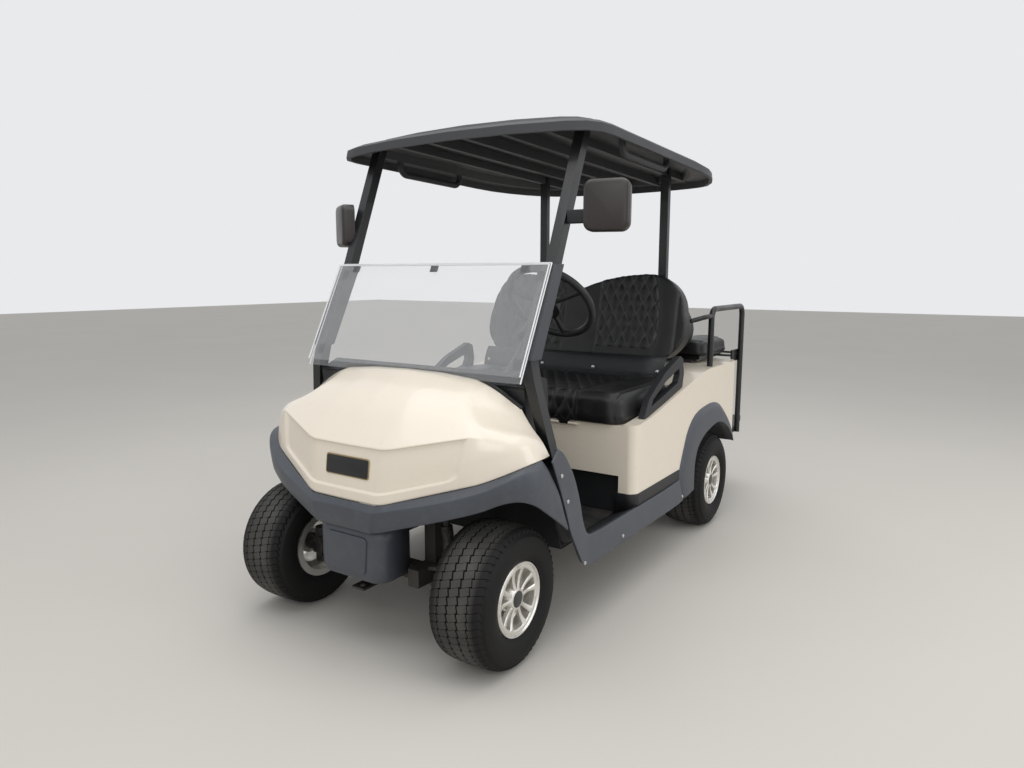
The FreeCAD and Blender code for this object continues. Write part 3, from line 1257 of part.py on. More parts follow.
os.makedirs("parts", exist_ok=True)
build()
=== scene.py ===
import math

import bmesh
import bpy
import numpy as np
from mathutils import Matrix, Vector


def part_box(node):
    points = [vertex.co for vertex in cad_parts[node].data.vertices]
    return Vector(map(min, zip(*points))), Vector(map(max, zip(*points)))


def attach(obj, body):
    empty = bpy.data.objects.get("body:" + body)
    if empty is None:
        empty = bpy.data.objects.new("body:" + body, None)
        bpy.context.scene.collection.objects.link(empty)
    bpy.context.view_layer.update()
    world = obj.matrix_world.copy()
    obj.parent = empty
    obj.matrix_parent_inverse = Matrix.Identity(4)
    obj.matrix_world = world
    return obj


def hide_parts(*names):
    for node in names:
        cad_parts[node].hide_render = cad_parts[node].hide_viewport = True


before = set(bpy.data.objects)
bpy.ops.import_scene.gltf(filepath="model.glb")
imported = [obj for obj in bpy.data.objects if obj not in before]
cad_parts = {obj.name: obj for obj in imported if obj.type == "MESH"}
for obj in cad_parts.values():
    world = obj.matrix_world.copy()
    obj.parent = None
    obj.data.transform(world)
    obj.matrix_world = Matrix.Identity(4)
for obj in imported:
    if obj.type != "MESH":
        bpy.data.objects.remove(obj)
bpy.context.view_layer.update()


# Camera and studio.
# The cart stands on plain pale painted screed and is seen from its front left, 1.2 m above the floor.
# Three soft lamps and an even sky light it, and the camera, gloss and glass see that sky at full strength.

def linear(hex_colour):
    """An sRGB hex colour as the linear colour that a shader takes."""
    channels = [int(hex_colour[i:i + 2], 16) / 255 for i in (1, 3, 5)]
    return [c / 12.92 if c <= 0.04045 else ((c + 0.055) / 1.055) ** 2.4 for c in channels] + [1.0]


def add(tree, kind, inputs, **settings):
    """Adds one node with its settings. Each input is a plain value or another node's output."""
    new = tree.nodes.new(kind)
    for setting, value in settings.items():
        setattr(new, setting, value)
    for key, value in inputs.items():
        if isinstance(value, bpy.types.NodeSocket):
            tree.links.new(value, new.inputs[key])
        else:
            new.inputs[key].default_value = value
    return new


def new_finish(name, **sockets):
    """A material with its shader's sockets set; a socket's spaces are written as underscores."""
    material = bpy.data.materials.new(name)
    material.use_nodes = True
    shader = material.node_tree.nodes["Principled BSDF"]
    for key, value in sockets.items():
        shader.inputs[key.replace("_", " ")].default_value = value
    return material, material.node_tree, shader


# The photo's view, solved from the places of its four wheels: metres, degrees, and millimetres for the lens.
CAMERA_PLACE = (1.708, -2.931, 1.223)
CAMERA_TURN = (81.59, -0.08, 33.45)
CAMERA_LENS = 26.0
SENSOR_WIDTH = 36.0
FLOOR_HALF = 24.0
SKY_FILL = 0.66
LAMP_AIM = Vector((0, 0, 0.6))

camera_data = bpy.data.cameras.new("photo_camera")
camera_data.lens = CAMERA_LENS
camera_data.sensor_width = SENSOR_WIDTH
camera = bpy.data.objects.new("photo_camera", camera_data)
camera.location = CAMERA_PLACE
camera.rotation_euler = [math.radians(turn) for turn in CAMERA_TURN]
bpy.context.scene.collection.objects.link(camera)
bpy.context.scene.camera = camera
bpy.context.scene.view_settings.view_transform = "Standard"

floor_mesh = bpy.data.meshes.new("floor")
floor_mesh.from_pydata([(-FLOOR_HALF, -FLOOR_HALF, 0), (FLOOR_HALF, -FLOOR_HALF, 0),
                        (FLOOR_HALF, FLOOR_HALF, 0), (-FLOOR_HALF, FLOOR_HALF, 0)], [], [(0, 1, 2, 3)])
floor = bpy.data.objects.new("floor", floor_mesh)
bpy.context.scene.collection.objects.link(floor)
# Matt paint on trowelled screed: an even dry surface, with faint clouds of tone more than a metre across.
floor_paint, floor_tree, floor_shader = new_finish("matt_floor_paint", Roughness=0.7, Specular_IOR_Level=0.3)
floor_place = add(floor_tree, "ShaderNodeTexCoord", {}).outputs["Object"]
floor_cloud = add(floor_tree, "ShaderNodeTexNoise", {"Vector": floor_place, "Scale": 0.8})
floor_tone = add(floor_tree, "ShaderNodeMix", {0: floor_cloud.outputs["Fac"], 6: linear("#CFCBC4"),
                                               7: linear("#D6D2CB")}, data_type="RGBA")
floor_tree.links.new(floor_tone.outputs[2], floor_shader.inputs["Base Color"])
floor_mesh.materials.append(floor_paint)

world = bpy.data.worlds.new("studio")
bpy.context.scene.world = world
world.use_nodes = True
sky_tree = world.node_tree
sky = sky_tree.nodes["Background"]
sky.inputs["Color"].default_value = linear("#E9EAEC")
rays = add(sky_tree, "ShaderNodeLightPath", {}).outputs
seen = rays["Is Camera Ray"]
for ray in ("Is Glossy Ray", "Is Transmission Ray"):
    seen = add(sky_tree, "ShaderNodeMath", {0: seen, 1: rays[ray]}, operation="MAXIMUM").outputs[0]
strength = add(sky_tree, "ShaderNodeMapRange", {"Value": seen, "To Min": SKY_FILL, "To Max": 1.0})
sky_tree.links.new(strength.outputs[0], sky.inputs["Strength"])

lamps = [
    # name, place (m), size (m), power (W)
    ("overhead", (0.3, -0.6, 4.2), 5.0, 112.0),
    ("front", (2.6, -4.4, 2.8), 2.2, 28.0),
    ("left", (5.2, 0.6, 2.2), 2.6, 44.0),
]
for lamp_name, place, size, power in lamps:
    lamp_data = bpy.data.lights.new(lamp_name, "AREA")
    lamp_data.shape = "SQUARE"
    lamp_data.size = size
    lamp_data.energy = power
    lamp = bpy.data.objects.new(lamp_name, lamp_data)
    lamp.location = place
    lamp.rotation_euler = (LAMP_AIM - Vector(place)).to_track_quat("-Z", "Y").to_euler()
    bpy.context.scene.collection.objects.link(lamp)


# Running gear: leaf springs, axles, knuckles, steering rack and dampers.
# Forged and cast steel, painted black at the works and now under a film of road dust.
# It is bolted below the frame and shows through the wheels and from below.

MM = 0.001
WELD_REACH = 0.02 * MM
EDGE_TURN = math.radians(35)


def dress(node, material, edge=0.0, segments=2):
    """Gives a CAD piece its finish, and rounds its edges by edge, in millimetres, on top of its own mesh."""
    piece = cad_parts[node]
    piece.data.materials.clear()
    piece.data.materials.append(material)
    if edge:
        weld = piece.modifiers.new("weld", "WELD")
        weld.merge_threshold = WELD_REACH
        bevel = piece.modifiers.new("edges", "BEVEL")
        bevel.width = edge * MM
        bevel.segments = segments
        bevel.limit_method = "ANGLE"
        bevel.angle_limit = EDGE_TURN
        piece.data.shade_smooth()
        normals = piece.modifiers.new("normals", "WEIGHTED_NORMAL")
        normals.keep_sharp = True


# Black paint on forged and cast steel: dark and satin, greyed in patches by road dust. Its grit is drawn at
# 2 mm, coarser than the real one, so that it shows.
dusty_steel, tree, shader = new_finish("black_painted_forged_steel", Roughness=0.62)
place = add(tree, "ShaderNodeTexCoord", {}).outputs["Object"]
grit = add(tree, "ShaderNodeTexNoise", {"Vector": place, "Scale": 38.0, "Detail": 8.0})
dust = add(tree, "ShaderNodeMapRange", {"Value": grit.outputs["Fac"], "From Min": 0.42, "From Max": 0.70})
tone = add(tree, "ShaderNodeMix", {0: dust.outputs[0], 6: linear("#1E1F20"), 7: linear("#4A443C")},
           data_type="RGBA")
tree.links.new(tone.outputs[2], shader.inputs["Base Color"])
cast = add(tree, "ShaderNodeTexNoise", {"Vector": place, "Scale": 420.0, "Detail": 3.0})
bump = add(tree, "ShaderNodeBump", {"Height": cast.outputs["Fac"], "Strength": 0.25, "Distance": 0.8 * MM})
tree.links.new(bump.outputs[0], shader.inputs["Normal"])

for node in ("front_axle", "steering_rack", "knuckle_left", "knuckle_right", "rear_axle", "rear_springs",
             "shock_absorbers"):
    dress(node, dusty_steel, 1.5)


# Tyres: four low-pressure turf-and-street tyres, 18 inches across on 8 inch wheels.
# Carbon-black rubber from a mould: five rows of saw-tooth blocks and plain sidewalls.
# The crown is grey with floor dust, and the grooves stay black.

TREAD_ROWS = 5
TREAD_STEPS = 56
TREAD_DEPTH = 6.5 * MM
ROW_WIDTH = 30.5 * MM
OUTER_ROW_MORE = 5.0 * MM
ROW_PITCH = 37.0 * MM
# Each row starts this share of a step further round than the row beside it.
ROW_SHIFT = 0.37
STEP_LEAN = 3.2 * MM
STEP_RISE = 12.0 * MM
SLIT = 3.6 * MM
BLOCK_DRAFT = 0.9 * MM
BLOCK_CHAMFER = 0.8 * MM
CHAMFER_DEPTH = 0.7 * MM
BLOCK_COLUMNS = 4
AROUND = 120
SHARP_TURN = math.radians(32)
# The dust on the crown starts at the first of these radii and is full at the second.
DUST_FROM = 221.5 * MM
DUST_FULL = 225.5 * MM
# The carcass from the middle of the crown out to the bead, in millimetres: along the axle, radius.
CARCASS = [(0.0, 219.5), (50.0, 218.8), (78.0, 214.5), (92.0, 207.5), (99.0, 198.0), (101.5, 196.5),
           (103.0, 193.0), (106.5, 180.0), (108.0, 165.0), (106.3, 148.0), (102.0, 135.0), (100.0, 133.0),
           (99.0, 129.5), (93.5, 122.0), (89.4, 119.8), (88.5, 117.0), (88.5, 104.0), (60.0, 103.0)]
# The top of the tread in the same way.
CROWN = [(0.0, 226.0), (40.0, 225.6), (62.0, 224.2), (80.0, 221.0), (92.0, 214.5), (97.5, 207.0)]


def finished_piece(name, mesh, material):
    """A piece with its finish, smooth faces, and sharp edges where it turns by more than SHARP_TURN."""
    mesh.materials.append(material)
    mesh.shade_smooth()
    mesh.set_sharp_from_angle(angle=SHARP_TURN)
    piece = bpy.data.objects.new(name, mesh)
    bpy.context.scene.collection.objects.link(piece)
    return piece


def new_piece(name, verts, faces, material):
    mesh = bpy.data.meshes.new(name)
    mesh.from_pydata([tuple(v) for v in verts], [], faces)
    return finished_piece(name, mesh, material)


def crown_radius(across):
    return np.interp(abs(across), [along * MM for along, _ in CROWN], [radius * MM for _, radius in CROWN])


def about_axle(along, radius, angle):
    return (along, radius * math.sin(angle), radius * math.cos(angle))


def ring_faces(start, rings, count, joined=False):
    """Faces between rings of count points, one after another; joined also closes the last on the first."""
    faces = []
    for ring in range(rings if joined else rings - 1):
        near = start + ring * count
        far = start + (ring + 1) % rings * count
        for step in range(count):
            after = (step + 1) % count
            faces.append((near + step, near + after, far + after, far + step))
    return faces


def turned(verts, faces, section):
    """A closed half section, in millimetres along the axle and out from it, turned once about the axle."""
    start = len(verts)
    for step in range(AROUND):
        angle = 2 * math.pi * step / AROUND
        verts.extend(about_axle(along * MM, radius * MM, angle) for along, radius in section)
    faces.extend(ring_faces(start, AROUND, len(section), joined=True))


def tread_block(verts, faces, middle, half, angle):
    """One saw-tooth block: its foot, the outline of its sides and, inside a small chamfer, its top."""
    pitch = 2 * math.pi / TREAD_STEPS
    length = crown_radius(0) * pitch - SLIT
    start = len(verts)
    for grow, sink in ((BLOCK_DRAFT, TREAD_DEPTH), (0.0, CHAMFER_DEPTH), (-BLOCK_CHAMFER, 0.0)):
        for edge in (0, 1):
            for column in range(BLOCK_COLUMNS + 1):
                share = column / BLOCK_COLUMNS if edge == 0 else 1 - column / BLOCK_COLUMNS
                lean = STEP_LEAN * (1 - 2 * edge)
                across = middle - half - grow + (2 * half + 2 * grow) * share + lean
                rise = STEP_RISE * (share - 0.5) + edge * length + grow * (2 * edge - 1)
                radius = crown_radius(across) - sink
                verts.append(about_axle(across, radius, angle + rise / crown_radius(0)))
    count = 2 * (BLOCK_COLUMNS + 1)
    faces.extend(ring_faces(start, 3, count))
    top = start + 2 * count
    for column in range(BLOCK_COLUMNS):
        faces.append((top + column, top + column + 1, top + count - 2 - column, top + count - 1 - column))


def tyre_mesh():
    verts = []
    faces = []
    turned(verts, faces, [(-along, radius) for along, radius in CARCASS[:0:-1]] + CARCASS)
    for row in range(TREAD_ROWS):
        middle = (row - (TREAD_ROWS - 1) / 2) * ROW_PITCH
        outer = row in (0, TREAD_ROWS - 1)
        half = (ROW_WIDTH + (OUTER_ROW_MORE if outer else 0)) / 2
        for step in range(TREAD_STEPS):
            angle = 2 * math.pi * (step + ROW_SHIFT * row) / TREAD_STEPS
            tread_block(verts, faces, middle, half, angle)
    return verts, faces


# Rubber from its mould: matt, near black on the walls, its crown greyed in patches by dust. Its grain is
# drawn at 1.5 mm, coarser than the real one, so that it shows.
tyre_rubber, tree, shader = new_finish("moulded_tyre_rubber", Roughness=0.72, Specular_IOR_Level=0.35)
place = add(tree, "ShaderNodeTexCoord", {}).outputs["Object"]
cloud = add(tree, "ShaderNodeTexNoise", {"Vector": place, "Scale": 9.0, "Detail": 6.0})
off_axle = add(tree, "ShaderNodeVectorMath", {0: place, 1: (0.0, 1.0, 1.0)}, operation="MULTIPLY")
radius = add(tree, "ShaderNodeVectorMath", {0: off_axle.outputs[0]}, operation="LENGTH")
tread_dust = add(tree, "ShaderNodeMapRange", {"Value": radius.outputs["Value"], "From Min": DUST_FROM,
                                              "From Max": DUST_FULL})
patchy = add(tree, "ShaderNodeMath", {0: cloud.outputs["Fac"], 1: tread_dust.outputs[0]},
             operation="MULTIPLY")
tone = add(tree, "ShaderNodeMix", {0: patchy.outputs[0], 6: linear("#090808"), 7: linear("#605F5B")},
           data_type="RGBA")
tree.links.new(tone.outputs[2], shader.inputs["Base Color"])
grain = add(tree, "ShaderNodeTexNoise", {"Vector": place, "Scale": 700.0, "Detail": 2.0})
bump = add(tree, "ShaderNodeBump", {"Height": grain.outputs["Fac"], "Strength": 0.18, "Distance": 0.4 * MM})
tree.links.new(bump.outputs[0], shader.inputs["Normal"])

wheel_corners = ("front_left", "front_right", "rear_left", "rear_right")
tyre_verts, tyre_faces = tyre_mesh()
for corner in wheel_corners:
    low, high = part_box("tyre_" + corner)
    tyre = new_piece("road_tyre_" + corner, tyre_verts, tyre_faces, tyre_rubber)
    tyre.location = (low + high) / 2
    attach(tyre, "wheel_" + corner)
    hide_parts("tyre_" + corner)


# Rims: cast aluminium wheels, 8 inches across the bead, machined bright on the face and clear lacquered.
# Each is a turned barrel with a lip, a hub, and ten slim spokes in five pairs.
# It bolts to its hub, and a blank dark cap closes the middle.

# Machined aluminium under clear lacquer: a bright soft sheen, with patches dulled and greyed by road film.
cast_alloy, tree, shader = new_finish("machined_cast_aluminium", Metallic=0.85, Coat_Weight=0.3,
                                      Coat_Roughness=0.15)
place = add(tree, "ShaderNodeTexCoord", {}).outputs["Object"]
stain = add(tree, "ShaderNodeTexNoise", {"Vector": place, "Scale": 26.0, "Detail": 6.0})
dust = add(tree, "ShaderNodeMapRange", {"Value": stain.outputs["Fac"], "From Min": 0.54, "From Max": 0.84})
tone = add(tree, "ShaderNodeMix", {0: dust.outputs[0], 6: linear("#E6E4DE"), 7: linear("#A8A195")},
           data_type="RGBA")
tree.links.new(tone.outputs[2], shader.inputs["Base Color"])
rough = add(tree, "ShaderNodeMapRange", {"Value": stain.outputs["Fac"], "To Min": 0.26, "To Max": 0.48})
tree.links.new(rough.outputs[0], shader.inputs["Roughness"])
# Moulded black plastic cap: smooth and slightly glossy, drifting between two near-blacks.
cap_abs, tree, shader = new_finish("black_wheel_cap_abs", Coat_Weight=0.3)
place = add(tree, "ShaderNodeTexCoord", {}).outputs["Object"]
cloud = add(tree, "ShaderNodeTexNoise", {"Vector": place, "Scale": 60.0, "Detail": 4.0})
tone = add(tree, "ShaderNodeMix", {0: cloud.outputs["Fac"], 6: linear("#1C1D20"), 7: linear("#2A2C30")},
           data_type="RGBA")
tree.links.new(tone.outputs[2], shader.inputs["Base Color"])
rough = add(tree, "ShaderNodeMapRange", {"Value": cloud.outputs["Fac"], "To Min": 0.25, "To Max": 0.45})
tree.links.new(rough.outputs[0], shader.inputs["Roughness"])

CAP_RADIUS = 26.2 * MM
CAP_HEIGHT = 5.0 * MM
CAP_SEAT = 86.5 * MM
HEAD_AROUND = 20
# A low dome from its skirt to its top: shares of its radius and of its height.
DOME = [(1.0, -0.4), (1.0, 0.42), (0.82, 0.76), (0.45, 0.94), (0.0, 1.0)]


def domed_heads(name, places, outward, radius, height, material):
    """Round caps or bolt heads in one piece; each stands on its place, in metres, and points outward."""
    turn = Vector(outward).to_track_quat("Z", "Y")
    verts = []
    faces = []
    for place in places:
        start = len(verts)
        for share, rise in DOME:
            for step in range(HEAD_AROUND):
                angle = 2 * math.pi * step / HEAD_AROUND
                reach = share * radius
                head = Vector((reach * math.cos(angle), reach * math.sin(angle), rise * height))
                verts.append(Vector(place) + turn @ head)
        faces.extend(ring_faces(start, len(DOME), HEAD_AROUND))
    return new_piece(name, verts, faces, material)


# Half sections of the wheel, in millimetres: along the axle outwards, radius.
BARREL = [(-96, 119), (-89, 119), (-89, 101.4), (-47, 101.4), (-35, 84), (35, 84), (47, 101.4),
          (88.5, 101.4), (88.5, 119), (93.5, 119.2), (96, 117.5), (96, 114.5), (93.5, 113.2),
          (90.5, 111.5), (90.5, 109.5), (93, 108), (93.5, 104), (92.5, 99), (89.5, 96), (47, 95.6),
          (35, 78), (-35, 78), (-47, 95.6), (-96, 95.6)]
HUB = [(-26, 0), (-26, 46), (54, 46), (70, 41), (82, 36), (87, 33.5), (88.5, 31), (88.5, 26.5), (86, 26),
       (86, 0)]
FRONT_BORE_R = 14.1
REAR_BORE_R = 15.1
SPOKE_PAIRS = 5
SPOKE_SPLAY = math.radians(14.5)
# One spoke from the hub to the ring: radius, its crown along the axle, half its width.
SPOKE = [(28, 86.5, 8.0), (36, 86.0, 7.0), (46, 84.5, 6.4), (58, 84.0, 6.4), (70, 85.0, 6.9),
         (82, 87.5, 7.8), (92, 90.5, 9.4), (98, 92.0, 12.0)]
# A spoke's section: share of its half width, how far it lies below the crown.
SPOKE_ROUND = [(-1.0, 15.0), (-1.0, 2.6), (-0.8, 1.0), (-0.4, 0.15), (0.0, 0.0), (0.4, 0.15), (0.8, 1.0),
               (1.0, 2.6), (1.0, 15.0)]


def wheel_mesh(bore):
    """One wheel about its axle, its face towards +X; bore is the radius of the hole behind its cap."""
    verts = []
    faces = []
    turned(verts, faces, BARREL)
    turned(verts, faces, [(along, max(radius, bore)) for along, radius in HUB])
    for index in range(2 * SPOKE_PAIRS):
        angle = 2 * math.pi * (index // 2) / SPOKE_PAIRS + SPOKE_SPLAY * (1 if index % 2 else -1)
        start = len(verts)
        for radius, crown, half in SPOKE:
            for share, drop in SPOKE_ROUND:
                verts.append(about_axle((crown - drop) * MM, radius * MM, angle + share * half / radius))
        count = len(SPOKE_ROUND)
        faces.extend(ring_faces(start, len(SPOKE), count))
        faces.append(tuple(range(start, start + count))[::-1])
        faces.append(tuple(range(len(verts) - count, len(verts))))
    return verts, faces


for corner in wheel_corners:
    low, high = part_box("rim_" + corner)
    middle = (low + high) / 2
    outward = 1 if corner.endswith("left") else -1
    rim_verts, rim_faces = wheel_mesh(FRONT_BORE_R if corner.startswith("front") else REAR_BORE_R)
    rim = new_piece("alloy_wheel_" + corner, rim_verts, rim_faces, cast_alloy)
    rim.location = middle
    rim.rotation_euler = (0, 0, 0 if outward > 0 else math.pi)
    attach(rim, "wheel_" + corner)
    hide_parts("rim_" + corner)
    cap = domed_heads("wheel_cap_" + corner, [middle + Vector((outward * CAP_SEAT, 0, 0))], (outward, 0, 0),
                      CAP_RADIUS, CAP_HEIGHT, cap_abs)
    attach(cap, "wheel_" + corner)


# Frame and floor: two box rails with cross members, a moulded floor pan and the batteries' block.
# The rails are painted box section under road dust; pan, kick panel and battery case are moulded plastic.
# A ribbed rubber mat lies on the floor, scuffed grey where feet go.

# Thin dark paint on drawn steel box: dull brown-black, with an uneven gloss in streaks along each rail.
beam, tree, shader = new_finish("dusty_painted_box_section", Metallic=0.2, Base_Color=linear("#35322E"))
place = add(tree, "ShaderNodeTexCoord", {}).outputs["Object"]
drawn = add(tree, "ShaderNodeMapping", {"Vector": place, "Scale": (60.0, 4.0, 60.0)})
lines = add(tree, "ShaderNodeTexNoise", {"Vector": drawn.outputs[0], "Scale": 5.0, "Detail": 5.0})
rough = add(tree, "ShaderNodeMapRange", {"Value": lines.outputs["Fac"], "To Min": 0.38, "To Max": 0.66})
tree.links.new(rough.outputs[0], shader.inputs["Roughness"])
dress("frame_rails", beam, 2.0)

# Moulded black ABS: soft grey highlights over a leather grain, drawn at 2 mm so that it shows.
black_moulding, tree, shader = new_finish("textured_black_abs", Roughness=0.5, Specular_IOR_Level=0.45)
place = add(tree, "ShaderNodeTexCoord", {}).outputs["Object"]
cloud = add(tree, "ShaderNodeTexNoise", {"Vector": place, "Scale": 6.0, "Detail": 5.0})
tone = add(tree, "ShaderNodeMix", {0: cloud.outputs["Fac"], 6: linear("#1A1B1D"), 7: linear("#26272A")},
           data_type="RGBA")
tree.links.new(tone.outputs[2], shader.inputs["Base Color"])
leather_grain = add(tree, "ShaderNodeTexVoronoi", {"Vector": place, "Scale": 520.0})
bump = add(tree, "ShaderNodeBump", {"Height": leather_grain.outputs["Distance"], "Strength": 0.3,
                                    "Distance": 0.5 * MM})
tree.links.new(bump.outputs[0], shader.inputs["Normal"])
for node in ("floor_pan", "kick_panel", "battery_block", "steering_column", "windshield_fittings"):
    dress(node, black_moulding, 2.0)

# Ribbed sheet rubber: dull and black, worn grey-brown in patches where feet rub.
mat_rubber, tree, shader = new_finish("ribbed_mat_rubber", Roughness=0.8, Specular_IOR_Level=0.3)
place = add(tree, "ShaderNodeTexCoord", {}).outputs["Object"]
scuffs = add(tree, "ShaderNodeTexNoise", {"Vector": place, "Scale": 7.0, "Detail": 8.0, "Roughness": 0.7})
worn = add(tree, "ShaderNodeMapRange", {"Value": scuffs.outputs["Fac"], "From Min": 0.45, "From Max": 0.7})
tone = add(tree, "ShaderNodeMix", {0: worn.outputs[0], 6: linear("#1D1D1E"), 7: linear("#45423E")},
           data_type="RGBA")
tree.links.new(tone.outputs[2], shader.inputs["Base Color"])
dress("floor_mat", mat_rubber, 1.2)


# Nose: one cream cowl over a slate bumper band that widens into the front fenders.
# The cowl is glossy coloured-through moulding with a crease above a sunk front panel and a ledge below it.
# Its foot sits on the band's top edge, and a black seal closes it against the dash.

front_low, front_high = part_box("tyre_front_left")
rear_low, rear_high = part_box("tyre_rear_left")
MID_WHEELBASE = (front_low.y + front_high.y + rear_low.y + rear_high.y) / 4


def at(x, y, z):
    """A place in the frame, from millimetres out from the middle, back from mid-wheelbase and up."""
    return (x * MM, MID_WHEELBASE + y * MM, z * MM)


def soft_line(points, stations, soften):
    """Places along straight runs between points; each inner corner is rounded by its share of a run."""
    points = np.asarray(points, float)
    soften = np.broadcast_to(soften, len(points))
    stations = np.asarray(stations, float)
    first = np.clip(stations.astype(int), 0, len(points) - 2)
    share = (stations - first)[:, None]
    places = points[first] * (1 - share) + points[first + 1] * share
    for corner in range(1, len(points) - 1):
        reach = soften[corner]
        near = np.abs(stations - corner) < reach
        if not near.any():
            continue
        before = points[corner] + (points[corner - 1] - points[corner]) * reach
        after = points[corner] + (points[corner + 1] - points[corner]) * reach
        t = ((stations[near] - corner) / (2 * reach) + 0.5)[:, None]
        places[near] = before * (1 - t) ** 2 + points[corner] * 2 * t * (1 - t) + after * t ** 2
    return places


def whole_row(half):
    """A row right across the nose from its left half, right to left."""
    half = np.asarray(half, float)
    return np.concatenate([half[:0:-1] * (-1, 1, 1), half])


def skin(rows, row_stations, row_soften, column_stations, column_soften):
    """A grid of places through rows of points, softened along the rows and then up the columns."""
    along = np.stack([soft_line(row, row_stations, row_soften) for row in rows])
    columns = [soft_line(along[:, i], column_stations, column_soften) for i in range(along.shape[1])]
    return np.stack(columns, axis=1)


def grid_normals(grid):
    """The outward direction at each place of a nose grid, whose rows go right to left and upwards."""
    up = np.gradient(grid, axis=0)
    along = np.gradient(grid, axis=1)
    normals = np.cross(along, up)
    return normals / np.maximum(np.linalg.norm(normals, axis=2, keepdims=True), 1e-9)


def grid_faces(height, width):
    return [(i * width + j, i * width + j + 1, (i + 1) * width + j + 1, (i + 1) * width + j)
            for i in range(height - 1) for j in range(width - 1)]


def ease(share):
    share = np.clip(share, 0, 1)
    return share * share * (3 - 2 * share)


def sheet_piece(name, grids, thickness, material):
    """Moulded panels in one piece, in millimetres: each grid is an outside, and its wall goes inwards."""
    verts = []
    faces = []
    for grid in grids:
        start = len(verts)
        verts.extend(at(*place) for place in grid.reshape(-1, 3))
        faces.extend(tuple(start + i for i in face) for face in grid_faces(*grid.shape[:2]))
    piece = new_piece(name, verts, faces, material)
    wall = piece.modifiers.new("wall", "SOLIDIFY")
    wall.thickness = thickness * MM
    wall.offset = -1.0
    return piece


COWL_WALL = 3.5
# Rows of the nose, half of each: out from the middle, back from mid-wheelbase, up.
SEAM = [(0, -1048, 514), (147, -1046, 514), (396, -948, 587), (450, -926, 603), (514, -881, 632),
        (552, -836, 652), (568, -788, 661), (566, -745, 661), (562, -706, 661)]
RIDGE = [(0, -1027, 690), (163, -1025, 691), (413, -925, 742), (460, -896, 739), (498, -866, 735),
         (524, -832, 729), (536, -796, 722), (536, -745, 708), (530, -706, 697)]
HOOD = [(0, -900, 816), (150, -893, 812), (318, -853, 806), (366, -832, 791), (412, -806, 774),
        (448, -781, 760), (472, -755, 750), (486, -730, 742), (494, -706, 733)]
HOOD_REAR = [(0, -726, 902), (150, -724, 899), (288, -720, 886), (338, -719, 870), (376, -718, 852),
             (404, -717, 836), (424, -714, 822), (442, -711, 811), (456, -706, 800)]
# How far each place of a row is rounded: crisp where the crease turns, soft round the corner.
COWL_SOFT = [0, 0.15, 0.20, 0.45, 0.45, 0.45, 0.45, 0.45, 0]
# The sunk front panel. Its foot is a share of the face's height, and its ends slope by a share.
PANEL_SINK = 9.0
PANEL_FOOT = 0.17
PANEL_HALF_LOW = 384.0
PANEL_HALF_HIGH = 410.0
PANEL_CORNER = 22.0
PANEL_END_SLOPE = 0.45
PANEL_EDGE = 9.0
FACE_HEIGHT = 176.0
# The crease: its height in rows, how wide its foot is, and where along the rows it fades out.
CREASE_LEVEL = 0.992
CREASE_FOOT = 5.0
CREASE_END = 2.2
CREASE_FADE = 0.8
# How far the skin swells between the rows: the hood, and the face at its middle and more at its sides.
HOOD_SWELL = 8.0
FACE_SWELL = 3.0
FACE_SIDE_FROM = 300.0
FACE_SIDE_OVER = 200.0
COWL_MIDDLE = len(SEAM) - 1

# Where the grid's columns and rows lie between the points above, closest at the panel's edges and the crease.
across = np.concatenate([np.linspace(0, 5, 61), np.linspace(5.02, 7.0, 90), np.linspace(7.02, 8.98, 58),
                         np.linspace(9.0, 10.98, 90), np.linspace(11, 16, 61)])
upward = np.concatenate([np.linspace(0, 0.13, 5), np.linspace(0.145, 0.23, 9), np.linspace(0.26, 0.88, 12),
                         np.linspace(0.91, 0.985, 9), np.linspace(0.99, 1.03, 7), np.linspace(1.07, 1.5, 10),
                         np.linspace(1.54, 2.5, 24), np.linspace(2.55, 3.0, 8)])
soft = COWL_SOFT[:0:-1] + COWL_SOFT
cowl_rows = [whole_row(half) for half in (SEAM, RIDGE, HOOD, HOOD_REAR)]
crisp_grid = skin(cowl_rows, across, soft, upward, [0, 0.022, 0.46, 0])
round_grid = skin(cowl_rows, across, soft, upward, [0, 0.42, 0.46, 0])
crease_fade = ease((np.abs(across - COWL_MIDDLE) - CREASE_END) / CREASE_FADE)[None, :, None]
cowl_grid = crisp_grid * (1 - crease_fade) + round_grid * crease_fade
facing = grid_normals(cowl_grid)
rise = upward[:, None]
side_share = ease((np.abs(cowl_grid[:, :, 0]) - FACE_SIDE_FROM) / FACE_SIDE_OVER)
belly = np.sin(np.pi * np.clip(rise, 0, 1)) * (FACE_SWELL + FACE_SWELL * side_share)
crown = np.sin(np.pi * np.clip((rise - 1) / 2, 0, 1)) * HOOD_SWELL
one_swell = np.sin(np.pi * rise / 3) * HOOD_SWELL
swell = (belly + crown) * (1 - crease_fade[:, :, 0]) + one_swell * crease_fade[:, :, 0]
cowl_grid = cowl_grid + facing * swell[:, :, None]
panel_half = PANEL_HALF_LOW + (PANEL_HALF_HIGH - PANEL_HALF_LOW) * rise
inside_x = (panel_half - np.abs(cowl_grid[:, :, 0])) * PANEL_END_SLOPE
inside_low = (rise - PANEL_FOOT) * FACE_HEIGHT + 0 * inside_x
in_corner = (inside_x < PANEL_CORNER) & (inside_low < PANEL_CORNER)
round_in = PANEL_CORNER - np.hypot(np.maximum(PANEL_CORNER - inside_x, 0),
                                   np.maximum(PANEL_CORNER - inside_low, 0))
inside = np.where(in_corner, round_in, np.minimum(inside_x, inside_low))
below_crease = (CREASE_LEVEL - rise) * FACE_HEIGHT
sink = ease(inside / PANEL_EDGE) * ease(below_crease / CREASE_FOOT)
cowl_grid = cowl_grid - facing * (PANEL_SINK * sink)[:, :, None]

